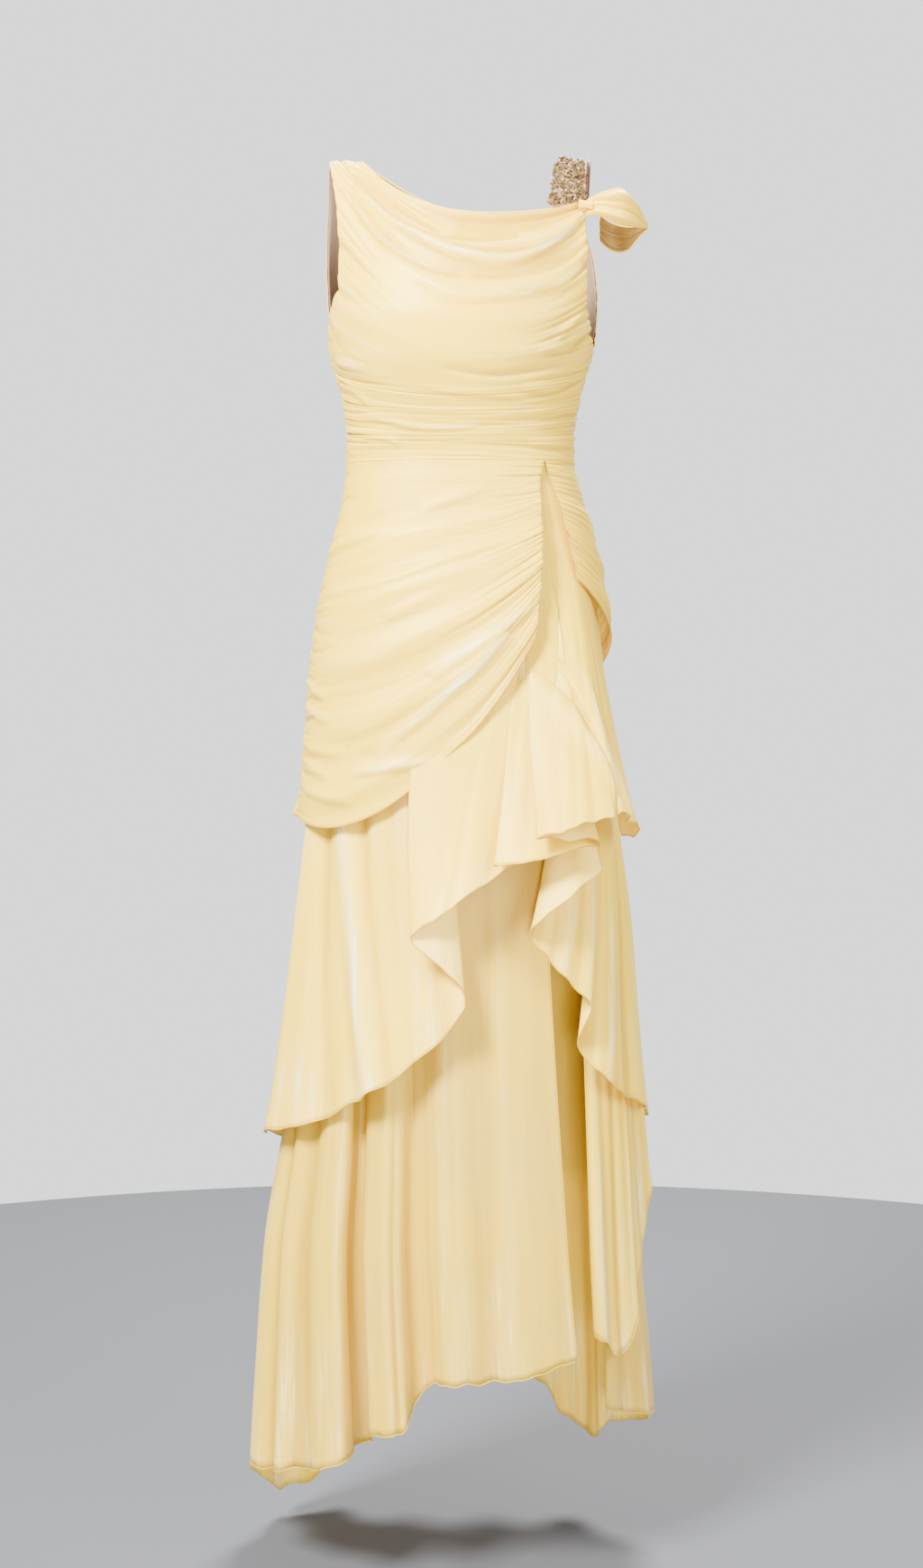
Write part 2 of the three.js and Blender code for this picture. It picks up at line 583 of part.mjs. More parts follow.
gatheredPiece("bodice_front", ruchedLines(BODICE_FRONT, FRONT_RUCHING), BODICE_COLUMNS, SATIN, satin(BUTTER));
gatheredPiece("bodice_back", ruchedLines(BODICE_BACK, BACK_RUCHING), BACK_COLUMNS, SATIN, satin(BUTTER));
gatheredPiece("back_lining", liningLines(BODICE_BACK), BACK_COLUMNS, LINING, chiffon(NUDE));
addPiece("shoulder_strap", clothWall(strapGrid(), BEADED, [], -1), satin(GOLD));
addPiece("sleeve_drape", clothWall(sleeveGrid(), SATIN), satin(BUTTER));
gatheredPiece("hip_drape_front", wrapLines(HIP_FRONT), HIP_FRONT_COLUMNS, SATIN, satin(BUTTER));
gatheredPiece("hip_drape_back", wrapLines(HIP_BACK), HIP_BACK_COLUMNS, SATIN, satin(BUTTER));
hangingPiece("cascade", CASCADE, { base: UNDER.cascade, lowerRows: 4, swing: 2.3 });
hangingPiece("overskirt_left", OVERSKIRT_LEFT, { base: UNDER.overskirt, lowerRows: 4, swing: 2.2 });
hangingPiece("overskirt_back", OVERSKIRT_BACK, { base: UNDER.overskirt, lowerRows: 4, swing: 2.2 });
hangingPiece("overskirt_right", OVERSKIRT_RIGHT, { base: UNDER.overskirt, lowerRows: 4, swing: 2.2 });
hangingPiece("side_fall", SIDE_FALL, { base: UNDER.sideFall, lowerRows: 5, swing: 2 });
hangingPiece("underskirt_front", UNDERSKIRT_FRONT, { base: UNDER.underskirt, lowerRows: 5, swing: 2 });
hangingPiece("underskirt_left", UNDERSKIRT_LEFT, { base: UNDER.underskirt, lowerRows: 5, swing: 2 });
hangingPiece("underskirt_back", UNDERSKIRT_BACK, { base: UNDER.underskirt, lowerRows: 5, swing: 2 });

export default dress;
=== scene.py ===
"""A draped maxi dress: fine cloth shells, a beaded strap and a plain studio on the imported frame."""

import logging
import math
from dataclasses import astuple, dataclass, replace
from enum import Enum
from typing import Any, Iterable, Sequence

import bpy
import numpy as np
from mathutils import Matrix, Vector


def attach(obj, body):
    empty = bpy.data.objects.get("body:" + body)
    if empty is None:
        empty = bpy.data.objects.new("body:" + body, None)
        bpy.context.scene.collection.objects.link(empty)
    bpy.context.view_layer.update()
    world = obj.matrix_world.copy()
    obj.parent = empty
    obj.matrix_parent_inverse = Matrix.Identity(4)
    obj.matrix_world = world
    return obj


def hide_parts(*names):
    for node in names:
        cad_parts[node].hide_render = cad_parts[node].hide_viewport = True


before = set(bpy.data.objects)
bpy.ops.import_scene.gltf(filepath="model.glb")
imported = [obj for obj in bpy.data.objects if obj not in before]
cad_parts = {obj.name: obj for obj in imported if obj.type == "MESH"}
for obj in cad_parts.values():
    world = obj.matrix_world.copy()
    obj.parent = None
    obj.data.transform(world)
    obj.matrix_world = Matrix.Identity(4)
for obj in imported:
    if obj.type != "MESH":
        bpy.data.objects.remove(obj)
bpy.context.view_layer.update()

Array = np.ndarray
Object = bpy.types.Object
Node = bpy.types.Node
Socket = bpy.types.NodeSocket
Triple = tuple[float, float, float]

MM = 0.001
BODY = "root"
PAINTED_HIGHLIGHT_ATTRIBUTE = "painted_highlight"  # name of the mesh attribute that marks where the material paints a highlight into the satin's colour
PAINTED_SHADE_ATTRIBUTE = "hollow"  # name of the mesh attribute that marks fold hollows, where the material paints shade into the cloth's colour
LOG = logging.getLogger("dress")

# Driving sizes of the dress, in millimetres, shared with its solids
WAIST_Z = -318.0
SEAM_GAP = 0.3
TIER_TOP = WAIST_Z - SEAM_GAP
CHIFFON_WALL = 1.1
SATIN_WALL = 1.6
LINING_WALL = 1.0
BEADED_WALL = 2.4
LINING_OUT = 0.3  # how far the lining stands off the form
LAYER = CHIFFON_WALL + 0.5
HIP_BASE = 4 * LAYER + 0.8
SHOULDER_END_Z = -150.0
SIDE_SEAM_TOP = -206.0
SIDE_SEAM_OUT = 4.4
HIP_LENGTH = 376.0
HIP_EASE = 10.0  # how much further out the side seam runs over the hips
HIP_FLARE = 6.0
HIP_FLARE_TOP = -660.0
SEAM_UNEVEN = 1.3

# Sizes of the cloth that shows, in millimetres
CLOTH = 0.7  # thickness of the shells
FINE_FOLD = 4.5  # how far round a point the fine folds are looked for
FINE_SHADE_DEPTH = 0.5  # depth at which a fine fold gets its full painted shade
BROAD_FOLD = 14.0
BROAD_SHADE_DEPTH = 2.2
CREST_HIGHLIGHT_FROM = 0.6  # height at which a broad crest starts to get a painted highlight
CREST_HIGHLIGHT_REACH = 2.5
CREST_PAINTED_HIGHLIGHT = 0.22


class Held(Enum):
    """How a sheet of cloth is held."""

    HUNG = "hung"
    GATHERED = "gathered"
    STRETCHED = "stretched"


class Side(Enum):
    """The edges of a piece of cloth: its first and last row, and its first and last column."""

    TOP = "top"
    HEM = "hem"
    FIRST = "first"
    LAST = "last"


class Slot(Enum):
    """Material slots of the part."""

    CHIFFON = "chiffon"
    LINING = "lining"
    BEADING = "beading"


# ---- Numbers ----


def smooth(t: Array) -> Array:
    """Eased 0 to 1."""
    return t * t * (3 - 2 * t)


def unit(t: Array) -> Array:
    """The value held between 0 and 1."""
    return np.clip(t, 0.0, 1.0)


def step(value: Array, low: float, reach: float) -> Array:
    """Eased from 0 at low to 1 at low + reach."""
    return smooth(unit((value - low) / reach))


def bump(away: Array, width: float | Array) -> Array:
    """A rounded bump, 1 in its middle and gone about twice its width away."""
    return np.exp(-((away / width) ** 2))


def between(first: Any, last: Any, share: Any) -> Any:
    """The value a share of the way from first to last."""
    return first + (last - first) * share


def shares(count: int) -> Array:
    """Even shares from 0 to 1, with `count` steps between them."""
    return np.linspace(0, 1, count + 1)


def normalised(vectors: Array) -> Array:
    """The same vectors with length 1."""
    return vectors / np.maximum(np.linalg.norm(vectors, axis=-1, keepdims=True), 1e-9)


def table_of(kind: type, *rows: tuple) -> tuple:
    """One dataclass row for each tuple of values."""
    return tuple(kind(*row) for row in rows)


def columns_of(rows: Sequence[object]) -> Array:
    """A table of dataclass rows as an array, one row each."""
    return np.array([astuple(row) for row in rows], float)


class Noise:
    """Smooth seeded noise over a plane, from -1 to 1."""

    SIZE = 128

    def __init__(self, seed: int) -> None:
        """Draws the gradients.

        Args:
            seed: the seed, so that every run is the same.
        """
        turns = np.random.default_rng(seed).uniform(0, 2 * np.pi, (self.SIZE, self.SIZE))
        self.slope_x = np.cos(turns)
        self.slope_y = np.sin(turns)

    def at(self, x: Array, y: Array) -> Array:
        """Noise at points of the plane.

        Args:
            x: first coordinate.
            y: second coordinate.

        Returns:
            The noise, in the shape of x and y together.
        """
        x, y = np.broadcast_arrays(x, y)
        column = np.floor(x).astype(int)
        row = np.floor(y).astype(int)
        dx = x - column
        dy = y - row
        total = np.zeros(x.shape)
        for i in (0, 1):
            for j in (0, 1):
                c = (column + i) % self.SIZE
                r = (row + j) % self.SIZE
                share_x = smooth(1 - np.abs(dx - i))
                share_y = smooth(1 - np.abs(dy - j))
                slope = self.slope_x[r, c] * (dx - i) + self.slope_y[r, c] * (dy - j)
                total += share_x * share_y * slope
        return np.clip(1.5 * total, -1, 1)

    def ridges(self, x: Array, y: Array) -> Array:
        """Noise with rounded ridges and soft valleys, from -1 to 1."""
        return 1 - 2.4 * np.sqrt(self.at(x, y) ** 2 + 0.012)


# ---- The form ----


@dataclass(frozen=True)
class FormRow:
    """Half-widths and half-depths of the form at one height."""

    z: float
    left: float
    right: float
    front: float
    back: float


FORM_ROWS = table_of(
    FormRow, (0, 172, 176, 0.3, 0.3), (-1, 172, 176, 7, 6), (-4, 171, 175, 15, 13),
    (-12, 168, 172, 28, 24), (-25, 164, 168, 41, 36), (-45, 158, 163, 56, 50),
    (-70, 153, 158, 71, 64), (-105, 147, 152, 89, 79), (-140, 143, 147, 105, 88),
    (-175, 139, 142, 114, 91), (-205, 134, 133, 113, 89), (-245, 123, 122, 101, 82),
    (-285, 117, 115, 87, 73), (-318, 115, 113, 78, 68), (-360, 119, 120, 81, 75),
    (-400, 127, 128, 87, 86), (-450, 136, 137, 94, 98), (-500, 142, 144, 99, 107),
    (-560, 147, 150, 103, 112), (-620, 151, 155, 106, 114), (-700, 158, 161, 110, 115),
    (-800, 168, 170, 118, 118), (-900, 177, 175, 127, 124), (-1035, 191, 183, 139, 132),
    (-1150, 208, 190, 150, 138), (-1268, 214, 200, 158, 145), (-1460, 222, 215, 170, 156),
)


class Form:
    """The hollow form that the cloth stands on. Angle 0 is the front and 90 the viewer's right."""

    POWER = 2.2
    REACH = 2.0

    def __init__(self, rows: Sequence[FormRow]) -> None:
        """Prepares the curves through the table.

        Args:
            rows: the table, from the shoulders down.
        """
        table = columns_of(rows)
        self.depth = -table[:, 0]
        self.sizes = {}
        for index, name in enumerate(("left", "right", "front", "back"), 1):
            values = table[:, index]
            self.sizes[name] = (values, self._slopes(values))

    def _slopes(self, values: Array) -> Array:
        """Slopes that keep the curve from overshooting its table.

        Args:
            values: one half-size down the table.

        Returns:
            One slope for each row.
        """
        between = np.diff(values) / np.diff(self.depth)
        before, after = between[:-1], between[1:]
        total = np.where(before + after == 0, 1, before + after)
        inner = np.where(before * after <= 0, 0, 2 * before * after / total)
        return np.concatenate([between[:1], inner, between[-1:]])

    def size(self, name: str, z: Array) -> Array:
        """One half-size at the heights z.

        Args:
            name: left, right, front or back.
            z: heights in millimetres.

        Returns:
            Half-sizes in millimetres.
        """
        values, slopes = self.sizes[name]
        depth = -np.asarray(z, float)
        i = np.clip(np.searchsorted(self.depth, depth, side="right") - 1, 0, len(values) - 2)
        span = self.depth[i + 1] - self.depth[i]
        t = unit((depth - self.depth[i]) / span)
        rise = values[i + 1] - values[i]
        first, last = slopes[i] * span, slopes[i + 1] * span
        curve = first + last - 2 * rise
        return values[i] + t * (first + t * (rise - first - curve + t * curve))

    def _plan(self, angle: Array, z: Array) -> tuple[Array, ...]:
        """Sine and cosine of the angle with the half-width and half-depth there.

        Args:
            angle: degrees round the form.
            z: heights.

        Returns:
            The four arrays.
        """
        s, c = np.sin(np.radians(angle)), np.cos(np.radians(angle))
        width = np.where(s < 0, self.size("left", z), self.size("right", z))
        depth = np.where(c > 0, self.size("front", z), self.size("back", z))
        return s, c, width, depth

    def point(self, angle: Array, z: Array) -> Array:
        """Points on the form, at an angle in degrees and a height."""
        angle, z = np.broadcast_arrays(angle, z)
        s, c, width, depth = self._plan(angle, z)
        bend = 2 / self.POWER
        x = width * np.sign(s) * np.abs(s) ** bend
        y = -depth * np.sign(c) * np.abs(c) ** bend
        return np.stack([x, y, z], -1)

    def level(self, angle: Array, z: Array) -> Array:
        """Level directions outward, in the shape of point()."""
        angle, z = np.broadcast_arrays(angle, z)
        s, c, width, depth = self._plan(angle, z)
        bend = 2 - 2 / self.POWER
        x = np.sign(s) * np.abs(s) ** bend / width
        y = -np.sign(c) * np.abs(c) ** bend / depth
        return normalised(np.stack([x, y, np.zeros(x.shape)], -1))

    def stand(self, angle: Array, z: Array, out: float) -> Array:
        """Points that stand a level distance off the form."""
        return self.point(angle, z) + self.level(angle, z) * out

    def lift(self, angle: Array, z: Array, out: Array) -> Array:
        """Points off the form, tipped upward where it turns in over the shoulders.

        Args:
            angle: degrees round the form.
            z: heights.
            out: distances outward.

        Returns:
            Points, three numbers each.
        """
        angle, z = np.broadcast_arrays(angle, z)
        outward = self.level(angle, z)
        upper = self.point(angle, np.minimum(0, z + self.REACH))
        slope = self.point(angle, z - self.REACH) - upper
        tip = np.maximum(0, (slope * outward).sum(-1) / -slope[..., 2])
        outward[..., 2] = np.where(z > SHOULDER_END_Z, tip, 0)
        return self.point(angle, z) + normalised(outward) * out[..., None]

    def angle_at(self, x: Array, z: Array) -> Array:
        """Where points of the form's front lie.

        Args:
            x: their distances from the middle.
            z: their heights.

        Returns:
            Angles in degrees.
        """
        x = np.asarray(x, float)
        width = np.where(x < 0, self.size("left", z), self.size("right", z))
        share = np.minimum(1, np.abs(x) / width) ** (self.POWER / 2)
        return np.sign(x) * np.degrees(np.arcsin(share))


FORM = Form(FORM_ROWS)


# ---- Tables ----


@dataclass(frozen=True)
class FoldLine:
    """A fold of a gathered panel: its ends on the form, its sag and how far it stands off."""

    start_angle: float
    start_z: float
    end_angle: float
    end_z: float
    sag: float
    low: float
    start: float
    middle: float
    end: float


BODICE_FRONT_LINES = table_of(
    FoldLine, (-35.6, 0, 50.5, -46.5, 48, 0.4, 2, 10, 5), (-39, 0, 51, -53, 55, 0.45, 1.5, 1, 1.5),
    (-43, 0, 51.5, -59, 68, 0.52, 3.5, 13, 6), (-48, -0.5, 52.5, -72, 78, 0.52, 3, 6.5, 3.5),
    (-53, -2, 55, -96, 87, 0.52, 3.5, 6.5, 6), (-53.5, -28, 56.5, -120, 82, 0.52, 3.5, 6, 4.5),
    (-54, -58, 58, -142, 76, 0.5, 4.5, 5.6, 5.5), (-56, -98, 60, -160, 66, 0.5, 4, 5.2, 4),
    (-59, -140, 64, -177, 55, 0.5, 5, 5, 5.5), (-76, -170, 76, -192, 46, 0.5, 4, 4.8, 3.5),
    (-90, -206, 90, -206, 38, 0.5, 5, 4.6, 5),
)
BODICE_BACK_LINES = table_of(
    FoldLine, (-144.4, 0, -230.5, -45, 28, 0.5, 3, 2.5, 2),
    (-126.8, -0.5, -232, -58, 42, 0.5, 3.4, 2, 2), (-115, -58, -245, -95, 30, 0.5, 3, 2, 2),
    (-104, -108, -256, -135, 26, 0.5, 2, 2, 2), (-98, -160, -263, -170, 22, 0.5, 2, 3, 2),
    (-90, -206, -270, -206, 16, 0.5, 5, 4, 5),
)


@dataclass(frozen=True)
class Station:
    """One fold along the hem of a hanging tier: its angle at the waist and its foot."""

    angle: float
    x: float
    y: float
    hem: float


UNDERSKIRT_FRONT = table_of(
    Station, (-52, -148, -158, -1360), (-45, -121, -156, -1350), (-39, -103, -132, -1342),
    (-34, -91, -150, -1326), (-29, -76, -174, -1320), (-25, -60, -172, -1315),
    (-21, -49, -153, -1298), (-17, -36, -148, -1276), (-11, -20, -163, -1269), (-4, 0, -171, -1268),
    (4, 26, -163, -1267), (11, 54, -169, -1263), (19, 86, -162, -1257), (27, 119, -148, -1248),
)
UNDERSKIRT_LEFT = table_of(
    Station, (-90, -222, -30, -1386), (-80, -218, -78, -1379), (-70, -200, -114, -1374),
    (-60, -172, -126, -1368), (-52, -148, -158, -1360),
)
UNDERSKIRT_BACK = table_of(
    Station, (-90, -222, -30, -1386), (-105, -226, 28, -1420), (-120, -202, 86, -1460),
    (-133, -166, 114, -1452), (-147, -128, 154, -1420), (-160, -86, 144, -1375),
    (-173, -42, 170, -1346), (-186, 4, 152, -1338), (-199, 50, 168, -1341), (-211, 92, 142, -1354),
    (-222, 120, 140, -1392), (-232, 148, 112, -1408), (-244, 168, 92, -1384),
    (-257, 202, 60, -1372), (-269, 211, 8, -1348), (-281, 186, -46, -1334), (-291, 154, -70, -1322),
)
SIDE_FALL = table_of(
    Station, (92, 191, 20, -1045), (88, 201, 2, -1080), (82, 199, -22, -1128),
    (75, 190, -46, -1190), (68, 183, -64, -1240), (61, 169, -84, -1262), (53, 153, -96, -1245),
    (46, 139, -106, -1234),
)
OVERSKIRT_LEFT = table_of(
    Station, (-90, -212, -15, -1035), (-75, -196, -74, -1022), (-60, -160, -120, -1005),
    (-46, -114, -142, -982), (-35, -84, -162, -963), (-25, -50, -160, -938), (-16, -18, -165, -908),
    (-8, 6, -164, -873), (-1, -20, -172, -838), (4, -51, -172, -810), (9, -30, -180, -790),
    (15, -4, -177, -771), (22, 30, -165, -748), (30, 72, -146, -728),
)
OVERSKIRT_BACK = table_of(
    Station, (-90, -212, -15, -1035), (-112, -208, 66, -1052), (-130, -166, 112, -1064),
    (-147, -124, 156, -1073), (-164, -64, 150, -1078), (-180, -2, 170, -1079),
    (-196, 60, 150, -1075), (-213, 122, 154, -1063), (-230, 162, 108, -1048),
    (-250, 200, 66, -1032), (-270, 199, 5, -1012),
)
OVERSKIRT_RIGHT = table_of(
    Station, (90, 199, 5, -1012), (84, 191, -50, -998), (79, 168, -92, -977), (74, 144, -114, -955),
    (69.5, 121, -124, -922), (65.5, 134, -136, -882), (61.5, 111, -144, -858),
    (57.5, 88, -151, -830), (53.5, 70, -159, -808), (49.5, 86, -168, -786), (45, 114, -166, -763),
    (40, 144, -150, -740),
)
CASCADE = table_of(
    Station, (28, 62, -167, -731), (31, 33, -174, -733), (34, 62, -182, -730),
    (37, 104, -180, -720), (40, 136, -174, -710), (43, 108, -188, -706), (46, 77, -194, -703),
    (49, 102, -203, -697), (52.5, 128, -196, -687), (56, 152, -184, -684), (58.5, 158, -168, -682),
    (61, 172, -146, -688), (65, 183, -114, -700), (68, 179, -80, -710), (71, 169, -50, -711),
)


@dataclass(frozen=True)
class LoopStation:
    """One station of the off-shoulder loop, from its front knot round the arm."""

    x: float
    y: float
    top: float
    bottom: float
    billow: float


SLEEVE_LOOP = table_of(
    LoopStation, (130, -49, -47, -62, 0.5), (141, -53, -41, -61, 3), (153, -55, -37, -66, 6),
    (167, -49, -34, -71, 7), (181, -36, -44, -71, 4), (191, -18, -56, -69, 1),
    (197, 2, -62, -67, 0), (188, 18, -62, -76, 1), (178, 32, -60, -85, 2), (164, 38, -56, -85, 3),
    (150, 31, -48, -76, 1),
)


@dataclass(frozen=True)
class StrapRow:
    """The strap's inner and outer edge at one place, on the form's front (1) or back (-1)."""

    side: float
    inner_x: float
    inner_z: float
    outer_x: float
    outer_z: float
    inner_out: float
    outer_out: float


STRAP_ROWS = table_of(
    StrapRow, (1, 88, -57.9, 129.5, -44.5, 8, 4.4), (1, 94, -31, 132, -24, 4, 3),
    (1, 99, -11, 134, -9, 2.5, 2.5), (1, 103, 0, 135, 0, 2.5, 2.5),
    (-1, 102, -10, 135, -8, 2.5, 2.5), (-1, 99, -29, 134, -25, 2.5, 2.5),
    (-1, 96.5, -50.7, 131, -43.8, 2.5, 2.5),
)


@dataclass(frozen=True)
class Crease:
    """A ridge or trough laid on a gathered panel, by the x and z of its path on the form."""

    path: tuple[tuple[float, float], ...]
    depth: float
    width: float
    # share of painted highlight along the crease
    painted_highlight: float = 0.0


BODICE_CREASES = table_of(
    Crease,
    (((-115, -14), (-77, -57), (-46, -78), (-3, -93), (30, -96), (60, -90)), -10.0, 7),
    (((-108, -8), (-70, -42), (-35, -66), (0, -80)), 3.5, 9, 0.3),
    (((-112, -35), (-65, -75), (-27, -101), (7, -115), (51, -118), (90, -98), (122, -70)), 7.0, 7, 0.9),
    (((-121, -28), (-104, -60), (-83, -90), (-40, -124), (7, -136)), -5.0, 8),
    (((7, -136), (60, -132), (100, -116), (124, -92)), -3.0, 8),
    (((-80, -100), (-36, -139), (7, -153), (68, -145), (104, -136), (125, -118)), 3.5, 9, 0.3),
    (((-10, -60), (40, -66), (90, -62)), 1.5, 7, 0.6),
    (((125, -160), (94, -195)), 2.2, 5),
    (((125, -186), (104, -203), (76, -208)), 2.4, 5),
    (((116, -233), (93, -246), (59, -247)), 2.2, 5),
    (((119, -295), (93, -302), (66, -302)), 1.6, 4),
    (((-125, -215), (-92, -226)), 2.0, 5),
    (((-127, -233), (-108, -246), (-92, -261)), 2.2, 5),
    (((-118, -281), (-79, -295), (-63, -302)), 1.8, 4),
    (((-39, -244), (0, -252), (68, -255)), 1.2, 4),
    (((-100, -268), (-40, -286), (20, -283)), 1.8, 4, 0.5),
    (((-20, -226), (40, -234), (110, -218)), -1.6, 4),
)
HIP_CREASES = table_of(
    Crease,
    (((-42, -373), (28, -345)), 2.2, 6),
    (((-137, -417), (-67, -388)), 2.4, 7),
    (((-137, -462), (-81, -445), (-28, -426), (28, -406), (73, -389)), 3.0, 6),
    (((-73, -484), (-11, -454)), 2.0, 6),
    (((-28, -543), (17, -509), (67, -465)), 3.0, 7, 0.7),
    (((-79, -624), (-22, -570), (22, -526), (45, -498)), 4.2, 7, 1.0),
    (((-70, -650), (-10, -600), (35, -550), (60, -510)), -2.5, 8),
    (((-101, -643), (-22, -629)), 2.8, 6, 0.9),
    (((-157, -543), (-123, -568)), 2.6, 6),
    (((-159, -570), (-118, -590)), 2.6, 6),
    (((-160, -598), (-143, -618), (-107, -623)), 2.8, 6),
    (((-160, -625), (-120, -648)), 2.6, 6),
    (((-162, -652), (-130, -668), (-98, -672)), 2.4, 6),
)


@dataclass(frozen=True)
class Flute:
    """A soft ridge or trough that runs down a hanging tier."""

    station: float
    depth: float
    width: float
    top: float = 0.15
    # share of painted highlight along the flute
    painted_highlight: float = 0.0
    drift: float = 0.0


@dataclass(frozen=True)
class SideFold:
    """A fold of a hanging tier that is drawn sideways half way down."""

    station: float
    shift: float
    width: float


@dataclass(frozen=True)
class GatherDepth:
    """How deep the gathers are at one fold line: at the first seam, mid-panel and at the last."""

    line: float
    first: float
    middle: float
    last: float


@dataclass
class Surface:
    """A piece's points, the way it faces and where a highlight is painted on its satin."""

    grid: Array
    facing: float
    painted_highlight: Array | None = None


# ---- Curves and meshes ----


def curve_through(table: Array, steps: int, linear: Sequence[int] = ()) -> Array:
    """A smooth curve through the rows of a table.

    Args:
        table: one row for each station.
        steps: points from one station to the next.
        linear: columns that are shared out evenly instead.

    Returns:
        The rows of the curve.
    """
    last = len(table) - 1
    places = np.arange(last * steps + 1) / steps
    i = np.minimum(places.astype(int), last - 1)
    t = (places - i)[:, None]
    a, b = table[np.maximum(i - 1, 0)], table[i]
    c, d = table[i + 1], table[np.minimum(i + 2, last)]
    bend = (2 * a - 5 * b + 4 * c - d) * t**2 + (3 * b - a - 3 * c + d) * t**3
    curve = b + 0.5 * ((c - a) * t + bend)
    for column in linear:
        curve[:, column] = (b + (c - b) * t)[:, column]
    return curve


def grid_normals(grid: Array, facing: float) -> Array:
    """Outward normals of a grid of points.

    Args:
        grid: rows by columns of points.
        facing: -1 where the columns run clockwise seen from above.

    Returns:
        One normal for each point.
    """
    down = np.gradient(grid, axis=0)
    across = np.gradient(grid, axis=1)
    return normalised(np.cross(down, across)) * facing


def spread(values: Array, reach: int, axis: int) -> Array:
    """Each value averaged with its neighbours along one axis.

    Args:
        values: the values.
        reach: how many neighbours on each side.
        axis: which axis.

    Returns:
        The averages, in the same shape.
    """
    moved = np.moveaxis(values, axis, 0)
    padded = np.concatenate([moved[:1].repeat(reach + 1, 0), moved, moved[-1:].repeat(reach, 0)])
    total = padded.cumsum(0)
    width = 2 * reach + 1
    return np.moveaxis((total[width:] - total[:-width]) / width, 0, axis)


def sunk(grid: Array, facing: float, reach: float) -> Array:
    """How far each point of a grid lies below its surroundings.

    Args:
        grid: rows by columns of points.
        facing: which way the grid faces.
        reach: how far the surroundings go, in millimetres.

    Returns:
        Depths in millimetres, below zero on crests.
    """
    around = grid
    for axis in (0, 1):
        spacing = np.linalg.norm(np.diff(grid, axis=axis), axis=-1).mean()
        around = spread(around, max(1, round(reach / spacing)), axis)
    return ((around - grid) * grid_normals(grid, facing)).sum(-1)


def mesh_object(name: str, points: Array, faces: list, finishes: Sequence["Finish"]) -> Object:
    """A smooth mesh object in the scene.

    Args:
        name: the object's name.
        points: its points, in millimetres.
        faces: its faces, as numbers of points.
        finishes: what its material slots hold.

    Returns:
        The linked object.
    """
    mesh = bpy.data.meshes.new(name)
    mesh.from_pydata((points.reshape(-1, 3) * MM).tolist(), [], faces)
    mesh.polygons.foreach_set("use_smooth", np.ones(len(faces), bool))
    for finish in finishes:
        mesh.materials.append(finish.material())
    item = bpy.data.objects.new(name, mesh)
    bpy.context.scene.collection.objects.link(item)
    return item


def quads_between(index: Array, following: Array) -> Array:
    """Four-sided faces between the rows of two arrays of point numbers."""
    corners = [index[:-1], index[1:], following[1:], following[:-1]]
    return np.stack(corners, -1).reshape(-1, 4)


def grid_object(name: str, surface: Surface, finishes: Sequence["Finish"]) -> Object:
    """A mesh object over a grid of points, with its cloth measured out in its UV map.

    Args:
        name: the object's name.
        surface: the grid and what goes with it.
        finishes: the finish of its face and, where it has one, of its reverse.

    Returns:
        The linked object.
    """
    grid, facing = surface.grid, surface.facing
    rows, columns = grid.shape[:2]
    index = np.arange(rows * columns).reshape(rows, columns)
    faces = quads_between(index[:, :-1], index[:, 1:])
    if facing < 0:
        faces = faces[:, ::-1]
    item = mesh_object(name, grid, faces.tolist(), finishes)
    mesh = item.data
    width = np.linalg.norm(np.diff(grid, axis=1), axis=-1).sum(1).mean() * MM
    length = np.linalg.norm(np.diff(grid, axis=0), axis=-1).sum(0).mean() * MM
    u = np.broadcast_to(np.linspace(0, width, columns), (rows, columns))
    v = np.broadcast_to(np.linspace(length, 0, rows)[:, None], (rows, columns))
    flat = np.stack([u, v], -1).reshape(-1, 2)[faces.ravel()]
    mesh.uv_layers.new(name="cloth").data.foreach_set("uv", flat.ravel())
    fine, broad = sunk(grid, facing, FINE_FOLD), sunk(grid, facing, BROAD_FOLD)
    # Painted shade: how far each point lies in a fold hollow, which darkens its colour in the material.
    hollow = np.maximum(unit(fine / FINE_SHADE_DEPTH), unit(broad / BROAD_SHADE_DEPTH))
    # Painted highlight: broad crests get a share of the near-white streak colour.
    crest = CREST_PAINTED_HIGHLIGHT * unit((-broad - CREST_HIGHLIGHT_FROM) / CREST_HIGHLIGHT_REACH)
    painted_highlight_mask = crest if surface.painted_highlight is None else np.maximum(crest, surface.painted_highlight)
    for attribute, values in ((PAINTED_HIGHLIGHT_ATTRIBUTE, painted_highlight_mask), (PAINTED_SHADE_ATTRIBUTE, hollow)):
        made = mesh.attributes.new(attribute, "FLOAT", "POINT")
        made.data.foreach_set("value", np.broadcast_to(values, (rows, columns)).ravel())
    return item


def tube_object(name: str, line: Array, radius: float, finish: "Finish") -> Object:
    """A thin round roll of cloth along a line, closed at its ends.

    Args:
        name: the object's name.
        line: the points it follows, in millimetres.
        radius: its radius in millimetres.
        finish: what it is made of.

    Returns:
        The linked object.
    """
    sides = 6
    along = normalised(np.gradient(line, axis=0))
    side = normalised(np.cross(along, [0.31, 0.17, 0.93]))
    up = np.cross(side, along)
    turn = 2 * np.pi * np.arange(sides)[None, :, None] / sides
    steps = np.arange(len(line))
    taper = np.minimum(1, np.minimum(steps, steps[::-1]) / 2 + 0.25)
    ring = np.cos(turn) * side[:, None] + np.sin(turn) * up[:, None]
    points = line[:, None] + ring * (radius * taper)[:, None, None]
    index = np.arange(len(line) * sides).reshape(len(line), sides)
    quads = quads_between(index, np.roll(index, -1, axis=1))[:, ::-1]
    ends = [index[0, ::-1].tolist(), index[-1].tolist()]
    return mesh_object(name, points, quads.tolist() + ends, (finish,))


# ---- Finishes ----


